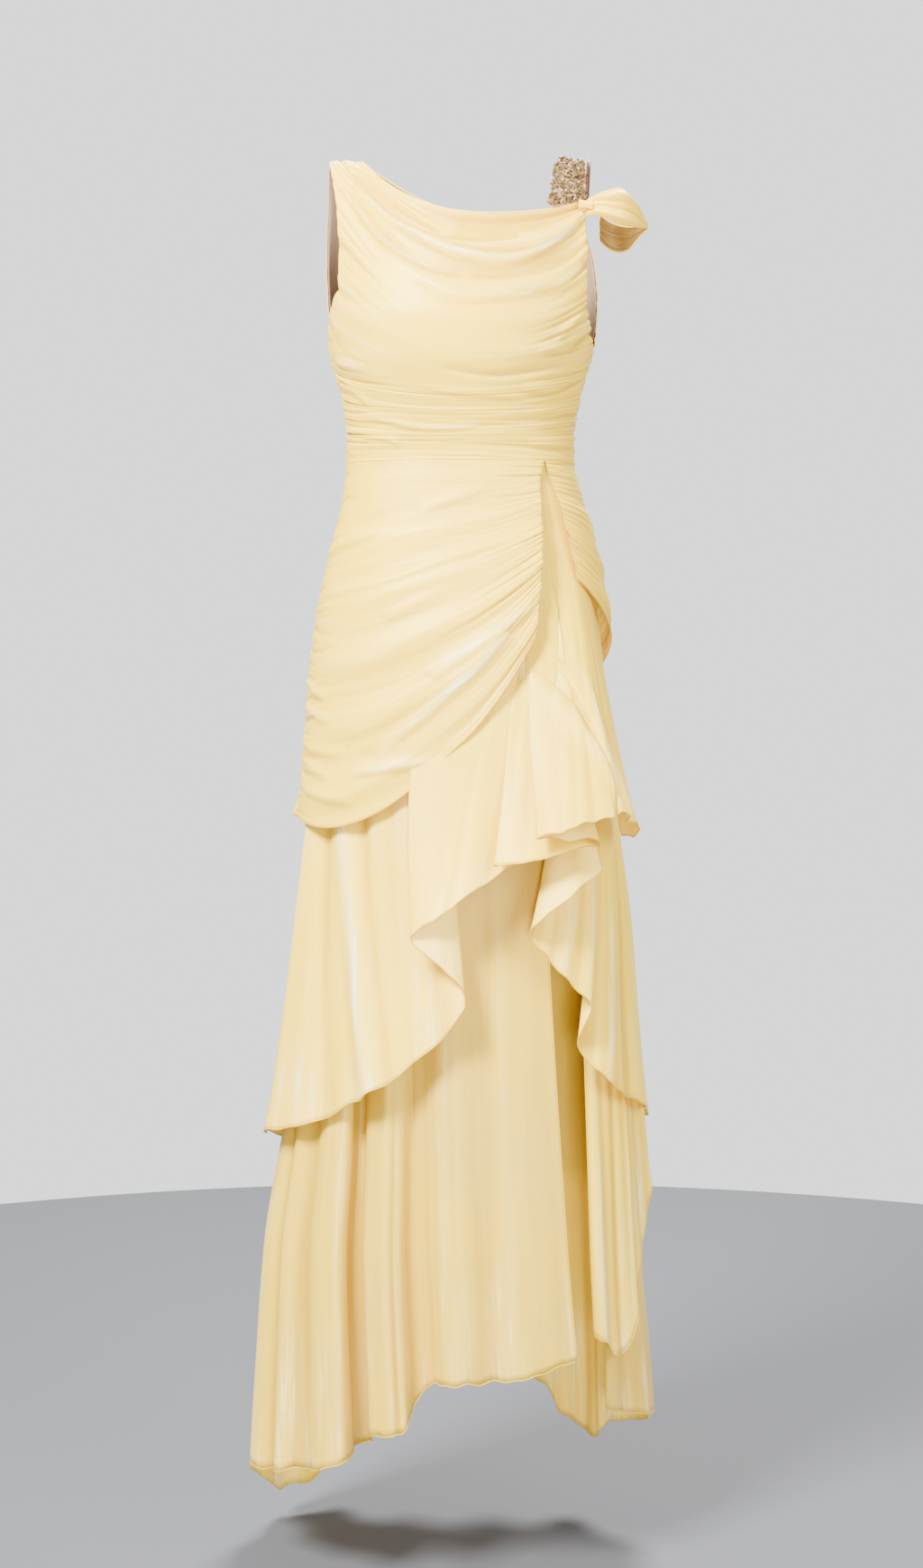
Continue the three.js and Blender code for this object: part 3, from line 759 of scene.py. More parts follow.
class NodeSheet:
    """A small helper that lays nodes out in one node tree."""

    def __init__(self, tree: bpy.types.NodeTree) -> None:
        """Keeps the tree and where the next node goes."""
        self.tree = tree
        self.place = 0

    def add(self, kind: str, **settings: object) -> Node:
        """Adds a node.

        Args:
            kind: the node's type name.
            settings: attributes to set on it.

        Returns:
            The node.
        """
        node = self.tree.nodes.new(kind)
        node.location = (220 * (self.place % 8), -260 * (self.place // 8))
        self.place += 1
        for name, value in settings.items():
            setattr(node, name, value)
        return node

    def give(self, node: Node, values: dict[str | int, object]) -> None:
        """Links or sets a node's inputs.

        Args:
            node: the node.
            values: a socket, number or colour for each input, by name or number.
        """
        for name, value in values.items():
            socket = node.inputs[name]
            if isinstance(value, Socket):
                self.tree.links.new(value, socket)
            elif isinstance(value, tuple):
                socket.default_value = (*value, 1.0)[: len(socket.default_value)]
            else:
                socket.default_value = value

    def math(self, operation: str, first: object, second: object = 0.0) -> Socket:
        """The result of a Math node."""
        node = self.add("ShaderNodeMath", operation=operation)
        self.give(node, {0: first, 1: second})
        return node.outputs[0]

    def times(self, first: object, second: object) -> Socket:
        """The product of two sockets or numbers."""
        return self.math("MULTIPLY", first, second)

    def plus(self, first: object, second: object) -> Socket:
        """The sum of two sockets or numbers."""
        return self.math("ADD", first, second)

    def mix(self, share: object, first: object, second: object) -> Socket:
        """The colour a share of the way from first to second."""
        node = self.add("ShaderNodeMix", data_type="RGBA")
        self.give(node, {0: share, 6: first, 7: second})
        return node.outputs[2]

    def ramp(self, value: Socket, low: float, high: float) -> Socket:
        """A smooth step from 0 at low to 1 at high."""
        node = self.add("ShaderNodeMapRange", interpolation_type="SMOOTHSTEP")
        self.give(node, {"Value": value, "From Min": low, "From Max": high})
        return node.outputs["Result"]


class CrinkleGroup:
    """The shared node group of crinkled woven cloth, with the streak mask that breaks up its painted
    highlight.
    """

    NAME = "crinkled cloth"
    THREADS = 9000.0  # turns of the weave's waves to a metre, across and along
    PICKS = 7600.0
    WEAVE = 0.036  # height of the weave against the crinkle's

    @classmethod
    def get(cls) -> bpy.types.NodeTree:
        """Builds the group once.

        Returns:
            The group, with Across and Along in, and Height, Streak and Tone out.
        """
        if cls.NAME in bpy.data.node_groups:
            return bpy.data.node_groups[cls.NAME]
        group = bpy.data.node_groups.new(cls.NAME, "ShaderNodeTree")
        for name in ("Across", "Along"):
            group.interface.new_socket(name, in_out="INPUT", socket_type="NodeSocketFloat")
        for name in ("Height", "Streak", "Tone"):
            group.interface.new_socket(name, in_out="OUTPUT", socket_type="NodeSocketFloat")
        sheet = NodeSheet(group)
        across, along = sheet.add("NodeGroupInput").outputs[:2]
        parts = sheet.add("ShaderNodeSeparateXYZ")
        sheet.give(parts, {0: sheet.add("ShaderNodeTexCoord").outputs["UV"]})
        fine = cls._noise(sheet, parts, across, along, 3.0)
        broad = cls._noise(sheet, parts, sheet.times(across, 0.23), sheet.times(along, 0.35), 2.0)
        patches = cls._noise(sheet, parts, 9.0, 5.0, 1.0)
        threads = sheet.math("SINE", sheet.times(parts.outputs["X"], cls.THREADS))
        picks = sheet.math("SINE", sheet.times(parts.outputs["Y"], cls.PICKS))
        weave = sheet.times(sheet.times(threads, picks), cls.WEAVE)
        made = {
            "Height": sheet.plus(sheet.plus(fine, sheet.times(broad, 1.6)), weave),
            "Streak": sheet.ramp(sheet.times(fine, broad), 0.24, 0.42),
            "Tone": sheet.ramp(patches, 0.35, 0.68),
        }
        sheet.give(sheet.add("NodeGroupOutput"), made)
        return group

    @staticmethod
    def _noise(sheet: NodeSheet, parts: Node, across: object, along: object, detail: float) -> Socket:
        """Adds noise that is stretched along the cloth.

        Args:
            sheet: where the nodes go.
            parts: the cloth's coordinates, split.
            across: cells to a metre across.
            along: cells to a metre along.
            detail: octaves.

        Returns:
            The noise, from 0 to 1.
        """
        joined = sheet.add("ShaderNodeCombineXYZ")
        x, y = parts.outputs["X"], parts.outputs["Y"]
        sheet.give(joined, {"X": sheet.times(x, across), "Y": sheet.times(y, along)})
        noise = sheet.add("ShaderNodeTexNoise", noise_dimensions="2D")
        sheet.give(noise, {"Scale": 1.0, "Detail": detail, "Vector": joined.outputs[0]})
        return noise.outputs["Fac"]


@dataclass(frozen=True)
class Finish:
    """What a surface is made of."""

    name: str
    colour: Triple

    def material(self) -> bpy.types.Material:
        """Builds the finish's material when it is first asked for.

        Returns:
            The material.
        """
        if self.name in bpy.data.materials:
            return bpy.data.materials[self.name]
        material = bpy.data.materials.new(self.name)
        material.use_nodes = True
        nodes = material.node_tree
        self.shade(NodeSheet(nodes), nodes.nodes["Principled BSDF"])
        return material

    def shade(self, sheet: NodeSheet, shader: Node) -> None:
        """Lays out the nodes that feed the shader."""
        raise NotImplementedError


@dataclass(frozen=True)
class ClothFinish(Finish):
    """A cloth finish: its colours, with the colours of its painted highlight and its painted shade, its
    gloss and crinkle.
    """

    tint: Triple
    # near-white colour mixed in as a painted highlight
    painted_highlight_streak: Triple
    # colour that the cloth is darkened towards in fold hollows: painted shade
    deep: Triple
    roughness: float = 0.45
    gloss: float = 0.2
    across: float = 420.0
    along: float = 14.0
    relief: float = 0.2
    # share of the painted highlight along the crinkle streaks everywhere
    faint: float = 0.06
    through: float = 0.35

    GLINT = (1.0, 0.86, 0.55)
    PAINTED_SHADE_STRENGTH = 0.85  # share of the painted shade colour in the deepest fold hollows
    RELIEF_HEIGHT = 0.0012  # metres

    def shade(self, sheet: NodeSheet, shader: Node) -> None:
        """Mixes the cloth's colours by its folds and crinkle: painted shade in the hollows and a
        painted highlight on marked crests, creases, flutes and hems.

        Args:
            sheet: where the nodes go.
            shader: the shader that they feed.
        """
        cloth = sheet.add("ShaderNodeGroup", node_tree=CrinkleGroup.get())
        sheet.give(cloth, {"Across": self.across, "Along": self.along})
        painted_shade_mask = sheet.add("ShaderNodeAttribute", attribute_name=PAINTED_SHADE_ATTRIBUTE).outputs["Fac"]
        painted_highlight_mask = sheet.add("ShaderNodeAttribute", attribute_name=PAINTED_HIGHLIGHT_ATTRIBUTE).outputs["Fac"]
        painted_highlight_streak = cloth.outputs["Streak"]
        toned = sheet.mix(cloth.outputs["Tone"], self.colour, self.tint)
        # Painted shade: the colour darkens towards the deep colour where the mesh marks fold hollows.
        toned = sheet.mix(sheet.times(painted_shade_mask, self.PAINTED_SHADE_STRENGTH), toned, self.deep)
        # Painted highlight: the near-white streak colour mixed in where the mesh marks it, broken up by
        # the crinkle streaks, and faintly along the streaks everywhere.
        painted_highlight_strength = sheet.times(painted_highlight_mask, sheet.plus(sheet.times(painted_highlight_streak, 0.8), 0.25))
        share = sheet.plus(painted_highlight_strength, sheet.times(painted_highlight_streak, self.faint))
        share = sheet.math("MINIMUM", share, 1.0)
        relief = sheet.add("ShaderNodeBump")
        height = cloth.outputs["Height"]
        sheet.give(relief, {"Strength": self.relief, "Distance": self.RELIEF_HEIGHT, "Height": height})
        inputs = {
            "Base Color": sheet.mix(share, toned, self.painted_highlight_streak),
            "Roughness": sheet.plus(sheet.times(share, -self.gloss), self.roughness),
            "Normal": relief.outputs["Normal"],
            "Sheen Weight": 0.04,
            "Sheen Roughness": 0.35,
            "Sheen Tint": self.GLINT,
            "Subsurface Weight": self.through,
            "Subsurface Radius": (1.0, 0.72, 0.3),
            "Subsurface Scale": 0.004,
            "Specular IOR Level": 0.5,
            "Specular Tint": self.GLINT,
        }
        sheet.give(shader, inputs)


@dataclass(frozen=True)
class BeadFinish(Finish):
    """A hard shiny finish for beads, pearls and sequins, with colour that varies bead by bead."""

    other: Triple
    metallic: float
    roughness: float

    def shade(self, sheet: NodeSheet, shader: Node) -> None:
        """Varies colour and roughness in cells about as wide as a bead.

        Args:
            sheet: where the nodes go.
            shader: the shader that they feed.
        """
        cells = sheet.add("ShaderNodeTexVoronoi")
        place = sheet.add("ShaderNodeTexCoord").outputs["Object"]
        sheet.give(cells, {"Scale": 320.0, "Vector": place})
        grey = sheet.add("ShaderNodeSeparateColor")
        sheet.give(grey, {0: cells.outputs["Color"]})
        inputs = {
            "Base Color": sheet.mix(grey.outputs[0], self.colour, self.other),
            "Roughness": sheet.plus(sheet.times(grey.outputs[1], 0.15), self.roughness),
            "Metallic": self.metallic,
        }
        sheet.give(shader, inputs)


@dataclass(frozen=True)
class PaintFinish(Finish):
    """A matt painted finish with a faint mottle."""

    def shade(self, sheet: NodeSheet, shader: Node) -> None:
        """Mottles the colour.

        Args:
            sheet: where the nodes go.
            shader: the shader that they feed.
        """
        noise = sheet.add("ShaderNodeTexNoise")
        sheet.give(noise, {"Scale": 3.0})
        darker = tuple(0.97 * part for part in self.colour)
        mottled = sheet.mix(noise.outputs["Fac"], self.colour, darker)
        sheet.give(shader, {"Base Color": mottled, "Roughness": 0.8})


# Cloth finishes give their colour, tint, painted highlight colour and painted shade colour, in that
# order.
SATIN_CHIFFON = ClothFinish(
    "satin_chiffon", (1.0, 0.585, 0.006), (0.97, 0.57, 0.03), (1.0, 0.86, 0.52),
    (0.70, 0.405, 0.002),
)
# The cascade's chiffon: the satin chiffon's colour darkened as painted shade against the strong light
# on the cascade.
CASCADE_CHIFFON_PAINTED_SHADE = ClothFinish(
    "cascade_chiffon_painted_shade", (0.90, 0.535, 0.004), (0.88, 0.52, 0.015), (1.0, 0.84, 0.48),
    (0.64, 0.375, 0.002), faint=0.03,
)
# The underskirt's chiffon: the satin chiffon's colour darkened as painted shade for the lower tiers,
# which get less light, with a softer crinkle.
UNDER_CHIFFON_PAINTED_SHADE = ClothFinish(
    "under_chiffon_painted_shade", (0.67, 0.41, 0.012), (0.63, 0.39, 0.03), (0.95, 0.78, 0.40),
    (0.48, 0.29, 0.005), relief=0.12, faint=0.02,
)
GATHERED_CHIFFON = ClothFinish(
    "gathered_chiffon", (1.0, 0.585, 0.006), (0.98, 0.575, 0.025), (1.0, 0.88, 0.58),
    (0.62, 0.37, 0.002), across=26.0, along=420.0, relief=0.15,
)
SATIN_REVERSE = ClothFinish(
    "satin_reverse", (1.0, 0.60, 0.02), (0.97, 0.585, 0.035), (1.0, 0.84, 0.48),
    (0.80, 0.475, 0.006), roughness=0.6, gloss=0.05,
)
PALE_REVERSE = ClothFinish(
    "pale_reverse", (1.0, 0.66, 0.10), (0.97, 0.64, 0.12), (1.0, 0.84, 0.5), (0.88, 0.56, 0.05),
    roughness=0.6, gloss=0.05,
)
# The inside of the sleeve loop, coloured dark as painted shade.
LOOP_PAINTED_SHADE = ClothFinish(
    "loop_painted_shade", (0.19, 0.12, 0.03), (0.155, 0.095, 0.02), (0.3, 0.2, 0.06),
    (0.13, 0.075, 0.015), across=26.0, along=420.0,
)
ROLLED_HEM = ClothFinish(
    "rolled_hem", (0.66, 0.415, 0.02), (0.6, 0.375, 0.02), (1.0, 0.8, 0.4), (0.5, 0.31, 0.01),
    across=300.0, along=300.0,
)
# The nude lining: its own colour, darkened further as painted shade for where it shows at the sides.
NUDE_LINING = ClothFinish(
    "nude_lining", (0.20, 0.125, 0.08), (0.25, 0.16, 0.105), (0.44, 0.27, 0.19), (0.2, 0.11, 0.07),
    roughness=0.6, gloss=0.05,
)
STRAP_BINDING = ClothFinish(
    "strap_binding", (0.03, 0.009, 0.006), (0.045, 0.014, 0.01), (0.1, 0.04, 0.03),
    (0.02, 0.006, 0.004), roughness=0.5, through=0.0,
)
STRAP_NET = ClothFinish(
    "strap_net", (0.30, 0.19, 0.085), (0.38, 0.25, 0.12), (0.6, 0.45, 0.25), (0.2, 0.12, 0.05),
    roughness=0.5,
)
GOLD_SEQUIN = BeadFinish("gold_sequin", (0.10, 0.055, 0.016), (0.27, 0.165, 0.06), 0.4, 0.4)
GLASS_BEAD = BeadFinish("glass_bead", (0.06, 0.03, 0.01), (0.20, 0.115, 0.04), 0.2, 0.3)
PEARL = BeadFinish("pearl", (0.34, 0.23, 0.11), (0.44, 0.31, 0.17), 0.0, 0.3)
FLOOR_PAINT = PaintFinish("floor_paint", (0.064, 0.066, 0.071))


# ---- Pieces ----


@dataclass
class ClothPiece:
    """What every piece of cloth has: its node, finish, cut and how it is held."""

    node: str
    flat: tuple[float, float]
    rests_on: tuple[str, ...]
    seed: int
    area: float | None = None
    held: Held = Held.HUNG
    finish: ClothFinish = SATIN_CHIFFON
    reverse: ClothFinish = PALE_REVERSE
    slot: Slot = Slot.CHIFFON
    wall: float = CHIFFON_WALL
    rolled: tuple[Side, ...] = (Side.HEM,)
    hem_radius: float = 0.75
    hem_finish: ClothFinish = ROLLED_HEM

    def surface(self) -> Surface:
        """The piece's surface, in millimetres."""
        raise NotImplementedError

    def trimmings(self) -> list[Object]:
        """Other pieces sewn to the cloth, made of its stuff."""
        return []

    def build(self) -> Object:
        """Makes the cloth and its rolled edges, and puts them on the frame.

        Returns:
            The cloth.
        """
        surface = self.surface()
        grid = surface.grid
        cloth = grid_object(f"cloth_{self.node}", surface, (self.finish, self.reverse))
        shell = cloth.modifiers.new("cloth", "SOLIDIFY")
        shell.thickness = CLOTH * MM
        shell.offset = 0.0
        shell.material_offset = 1
        edges = dict(zip(Side, (grid[0], grid[-1], grid[:, 0], grid[:, -1])))
        trimmings = self.trimmings()
        for side in self.rolled:
            name = f"roll_{self.node}_{side.value}"
            trimmings.append(tube_object(name, edges[side], self.hem_radius, self.hem_finish))
        for piece in (*trimmings, cloth):
            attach(piece, BODY)
        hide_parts(self.node)
        list(self.rests_on)
        LOG.info("%s: %d by %d points", self.node, *grid.shape[:2])
        return cloth


SIDE_SEAM_NOISE = Noise(5)


def side_seam_out(z: Array) -> Array:
    """How far a side seam stands off the form, which its two panels share.

    Args:
        z: heights.

    Returns:
        Distances in millimetres.
    """
    above = unit((SIDE_SEAM_TOP - z) / (SIDE_SEAM_TOP - WAIST_Z))
    bodice = between(HIP_BASE, SIDE_SEAM_OUT, 1 - above**4)
    below = unit((WAIST_Z - z) / HIP_LENGTH)
    flare = HIP_FLARE * step(-z, -HIP_FLARE_TOP, 34)
    hip = HIP_BASE + HIP_EASE * smooth(unit(1.6 * below)) + flare
    puckers = SEAM_UNEVEN * SIDE_SEAM_NOISE.ridges(z * 0.1, z * 0 + 3.3)
    return np.where(z > WAIST_Z, bodice, hip) + puckers


@dataclass
class GatheredPiece(ClothPiece):
    """A panel gathered into its seams, whose folds run across it."""

    held: Held = Held.GATHERED
    finish: ClothFinish = GATHERED_CHIFFON
    wall: float = SATIN_WALL
    lines: Sequence[FoldLine] = ()
    columns: int = 120
    steps: int = 8
    gathers: Sequence[GatherDepth] = (GatherDepth(0, 0, 0, 0),)
    per_line: float = 1.0
    along: float = 3.0
    creases: Sequence[Crease] = ()
    seams: Sequence[Side] = ()
    least_out: float = 1.0

    REACH = 0.42  # longest gather, as a share of the panel's width
    WANDER = 0.7
    MM_PER_DEGREE = 2.1
    SEAM_SHARE = 0.05  # share of the width that a side seam holds in place
    DRAWS = 512  # gathers that have their own length and depth

    def _eased(self) -> Array:
        """The lines with eased rows between them.

        Returns:
            One row for each row of points, with the columns of FoldLine.
        """
        table = columns_of(self.lines)
        count = (len(table) - 1) * self.steps
        places = np.arange(count + 1) / self.steps
        i = np.minimum(places.astype(int), len(table) - 2)
        t = (places - i)[:, None]
        change = table[i + 1] - table[i]
        turned_under = np.where(change < 0, smooth(unit(1.5 * t)), smooth(t))
        rows = table[i] + change * t
        rows[:, 6:] = (table[i] + change * turned_under)[:, 6:]
        return rows

    def _gathers(self, away: Array, line: Array, seed: int) -> Array:
        """Sharp uneven gathers that run in from a seam and die out.

        Args:
            away: share of the panel's width from the seam.
            line: which fold line each point lies at.
            seed: the seed of their lengths and depths.

        Returns:
            Heights, about -1 in the hollows.
        """
        noise = Noise(seed)
        rng = np.random.default_rng(seed)
        total = np.zeros(np.broadcast_shapes(away.shape, line.shape))
        for rate, share in ((self.per_line, 1.0), (2.3 * self.per_line, 0.5)):
            place = line * rate + self.WANDER * noise.at(away * 3.1, line * rate * 0.45) + 40
            number = np.floor(place).astype(int)
            off = place - number - 0.5
            reach = self.REACH * rng.uniform(0.25, 1.0, self.DRAWS)[number]
            depth = share * rng.uniform(0.35, 1.0, self.DRAWS)[number]
            fade = 1 - smooth(unit(away / reach))
            profile = 0.35 * np.sin(2 * np.pi * off) ** 2 - bump(off, 0.15)
            total = total + depth * fade * profile
        return total

    def _crease_heights(self, angle: Array, z: Array) -> tuple[Array, Array]:
        """Heights of the listed creases, and where they get a painted highlight.

        Args:
            angle: degrees round the form.
            z: heights.

        Returns:
            Heights in millimetres and the share of painted highlight, in the shape of angle.
        """
        total, painted_highlight = np.zeros((2, *angle.shape))
        for crease in self.creases:
            path = np.array(crease.path, float)
            path[:, 0] = FORM.angle_at(path[:, 0], path[:, 1]) * self.MM_PER_DEGREE
            line = curve_through(path, 4)
            near = np.full(angle.shape, 1e9)
            signed, where = np.zeros((2, *angle.shape))
            for k, ((ax, az), (bx, bz)) in enumerate(zip(line[:-1], line[1:])):
                dx, dz = bx - ax, bz - az
                px, pz = angle * self.MM_PER_DEGREE - ax, z - az
                t = unit((px * dx + pz * dz) / max(dx * dx + dz * dz, 1e-6))
                away = np.hypot(px - dx * t, pz - dz * t)
                closer = away < near
                near = np.where(closer, away, near)
                signed = np.where(closer, np.sign(pz - dz * t), signed)
                where = np.where(closer, (k + t) / (len(line) - 1), where)
            width = crease.width * np.where(signed < 0, 0.7, 1.25)
            fade = np.sin(np.pi * where) ** 0.6
            total += crease.depth * bump(near, width) * fade
            painted_highlight = np.maximum(painted_highlight, crease.painted_highlight * bump(near, 0.5 * width) * fade)
        return total, painted_highlight

    def surface(self) -> Surface:
        """Lays the lines, gathers, pleats, creases and side seams on the form.

        Returns:
            The gathered panel's surface.
        """
        rows = self._eased()
        start_angle, start_z, end_angle, end_z, sag, low, start, middle, end = rows.T[..., None]
        u = shares(self.columns)[None, :]
        line = (np.arange(len(rows)) / self.steps)[:, None]
        skew = np.log(0.5) / np.log(low)
        angle = between(start_angle, end_angle, u)
        z = np.minimum(0, between(start_z, end_z, u) - sag * np.sin(np.pi * u**skew))
        at_start, at_end = step(-u, -0.5, 0.5), step(u, 0.5, 0.5)
        out = start * at_start + middle * (1 - at_start - at_end) + end * at_end
        places, *depths = columns_of(self.gathers).T
        first, mid, last = (np.interp(line, places, depth) for depth in depths)
        out = out + first * self._gathers(u, line, self.seed + 1)
        out = out + last * self._gathers(1 - u, line, self.seed + 2)
        noise = Noise(self.seed)
        sway = 0.5 * noise.at(u * 2.0 + 7, line * 0.3)
        out = out + mid * noise.ridges(u * self.along, 1.3 * line * self.per_line + sway)
        creased, painted_highlight = self._crease_heights(angle, z)
        out = out + creased
        for side in self.seams:
            away = u if side is Side.FIRST else 1 - u
            share = bump(away, self.SEAM_SHARE) * step(-z, -SIDE_SEAM_TOP, 20)
            out = between(out, side_seam_out(z), share)
        out = np.maximum(out + 0.5 * self.wall, self.least_out)
        facing = float(np.sign(self.lines[0].end_angle - self.lines[0].start_angle))
        return Surface(FORM.lift(angle, z, out), facing, painted_highlight)


def ruched(
    lines: Sequence[FoldLine], count: int, hollow: float, crest: float, middle: float
) -> tuple[FoldLine, ...]:
    """The lines of a bodice panel with its gathers down to the waist.

    Args:
        lines: the fold lines above.
        count: how many gathers lie below them.
        hollow: stand-off in the hollows.
        crest: stand-off on the crests.
        middle: stand-off mid-panel.

    Returns:
        All the lines.
    """
    first = lines[-1]
    total = 2 * count
    made = []
    for i in range(1, total + 1):
        t = (i + 0.3 * math.sin(2.4 * i) * (i < total)) / total
        fade = 1 - t**4
        uneven = middle + 0.5 * math.sin(1.7 * i)
        ends = (hollow, crest) if i % 2 else (crest, hollow)
        line = replace(
            first,
            start_z=between(first.start_z, WAIST_Z, t),
            end_z=between(first.end_z, WAIST_Z, t),
            sag=first.sag * (1 - t),
            start=between(HIP_BASE, ends[0], fade),
            middle=between(HIP_BASE, uneven, fade),
            end=between(HIP_BASE, ends[1], fade),
        )
        made.append(line)
    return (*lines, *made)


def lining_lines(lines: Sequence[FoldLine]) -> tuple[FoldLine, ...]:
    """The lines of a bodice panel laid flat on the form, with one more at the waist.

    Args:
        lines: the fold lines of the panel that it lines.

    Returns:
        The lining's lines.
    """
    waist = replace(lines[-1], start_z=WAIST_Z, end_z=WAIST_Z, sag=0)
    out = LINING_OUT
    return tuple(replace(line, start=out, middle=out, end=out) for line in (*lines, waist))


@dataclass(frozen=True)
class Wrap:
    """Half of the hip wrap: its top and hem lines, and the folds that fan out between them."""

    start_angle: float
    end_angle: float
    hem_end_angle: float
    start_z: float
    end_z: float
    sag: float
    low: float
    folds: int
    stand_off: Triple

    DEPTH = 4.0  # height of its folds

    def lines(self) -> tuple[FoldLine, ...]:
        """Fans the folds out from the waist.

        Returns:
            The fold lines of the wrap.
        """
        total = 2 * self.folds
        made = []
        for i in range(total + 1):
            t = i / total
            crest = self.DEPTH * (i % 2) * min(1.0, 4 * t)
            leave = float(smooth(unit(np.array(1.6 * t))))
            start, middle, end = (HIP_BASE + value * leave for value in self.stand_off)
            line = FoldLine(
                self.start_angle,
                between(TIER_TOP, self.start_z, t),
                between(self.end_angle, self.hem_end_angle, t**0.6),
                between(TIER_TOP, self.end_z, t),
                self.sag * t**1.6,
                between(0.5, self.low, t),
                start,
                middle + crest,
                end + 0.5 * crest,
            )
            made.append(line)
        return tuple(made)


HIP_FRONT = Wrap(-90, 44.5, 26, -694, -501, 92, 0.55, 6, (10, 16, 20))
HIP_BACK = Wrap(-90, -314, -308, -694, -441, 30, 0.5, 4, (11, 6, 9))


@dataclass
class HangingPiece(ClothPiece):
    """A tier that hangs from the waist and swings out to its hem."""

    rolled: tuple[Side, ...] = (Side.HEM, Side.LAST)
    stations: Sequence[Station] = ()
    base: float = 0.0
    swing: float = 2.0
    steps: int = 10
    rows: int = 100
    upper_share: float = 0.12
    flutes: Sequence[Flute] = ()
    ripple: float = 2.4
    hem_wave: float = 3.0
    hem_painted_highlight: float = 0.0
    folds: Sequence[SideFold] = ()

    SHARED_Z = -600.0  # down to here the rows of all the tiers are level
    RIPPLE_TOP = 0.3
    HEM_HIGHLIGHT_TOP = 0.82  # the hem's painted highlight and curl start this share of the way down
    CURL_TOP = 0.94
    CURL = 3.0

    def surface(self) -> Surface:
        """Hangs the tier from the waist, through its stations to its hem.

        Returns:
            The hanging tier's surface.
        """
        table = columns_of(self.stations)
        fine = curve_through(table, self.steps, linear=(0,))
        angle, x, y, hem = fine.T[:, None]
        station = (np.arange(len(fine)) / self.steps)[None, :]
        inside = step(station, 0, 0.6) * step(station.max() - station, 0, 0.6)
        hem = hem + self.hem_wave * inside * Noise(self.seed + 100).at(station * 1.9, station * 0 + 1)
        upper = max(4, round(self.rows * self.upper_share))
        top = np.linspace(TIER_TOP, self.SHARED_Z, upper + 1)[:, None] + 0 * hem
        below = shares(self.rows - upper)[1:, None]
        z = np.concatenate([top, between(self.SHARED_Z, hem, below)])
        down = (TIER_TOP - z) / (TIER_TOP - hem)
        out = self.base + 0.5 * self.wall
        foot = FORM.stand(angle, hem, out)
        shift = np.stack([x - foot[..., 0], y - foot[..., 1], 0 * x], -1)
        grid = FORM.stand(angle, z, out) + shift * (down**self.swing)[..., None]
        for fold in self.folds:
            near = bump(station - fold.station, fold.width)
            grid[..., 0] += fold.shift * near * np.sin(np.pi * down**1.2)
        facing = float(np.sign(table[-1, 0] - table[0, 0]))
        heights, painted_highlight = self._heights(station, down)
        return Surface(grid + grid_normals(grid, facing) * heights[..., None], facing, painted_highlight)

    def _heights(self, station: Array, down: Array) -> tuple[Array, Array]:
        """Heights of the flutes, ripples and curled hem, with where a highlight is painted on the
        flutes and near the hem.

        Args:
            station: which station each column lies at.
            down: 0 at the waist and 1 at the hem.

        Returns:
            Heights in millimetres, and the share of painted highlight.
        """
        noise = Noise(self.seed)
        sway = 0.5 * noise.at(station * 0.4 + 3, down * 2.2)
        waves = noise.at(station + sway, down * 1.3)
        fine = noise.ridges(station * 2.2 + sway + 17, down * 2.4)
        grow = step(down, self.RIPPLE_TOP, 1 - self.RIPPLE_TOP)
        total = self.ripple * grow * (waves + 0.16 * fine)
        painted_highlight = np.zeros(total.shape)
        for flute in self.flutes:
            centre = flute.station + flute.drift * (down - 0.5)
            across = bump(station - centre, flute.width)
            reach = step(down, flute.top, 0.4)
            total = total + flute.depth * across * reach
            painted_highlight = np.maximum(painted_highlight, flute.painted_highlight * across**2 * reach)
        # Painted highlight in patches near the hem.
        patches = unit(1.6 * noise.at(station * 0.8 + 30, down * 3) + 0.25)
        painted_highlight = np.maximum(painted_highlight, self.hem_painted_highlight * patches * step(down, self.HEM_HIGHLIGHT_TOP, 0.14))
        edge = unit((down - self.CURL_TOP) / (1 - self.CURL_TOP)) ** 2
        total = total + self.CURL * edge * noise.at(station * 1.1 + 50, down * 0 + 2)
        ends = step(station, 0, 0.5) * step(station.max() - station, 0, 0.5)
        return total * ends, painted_highlight


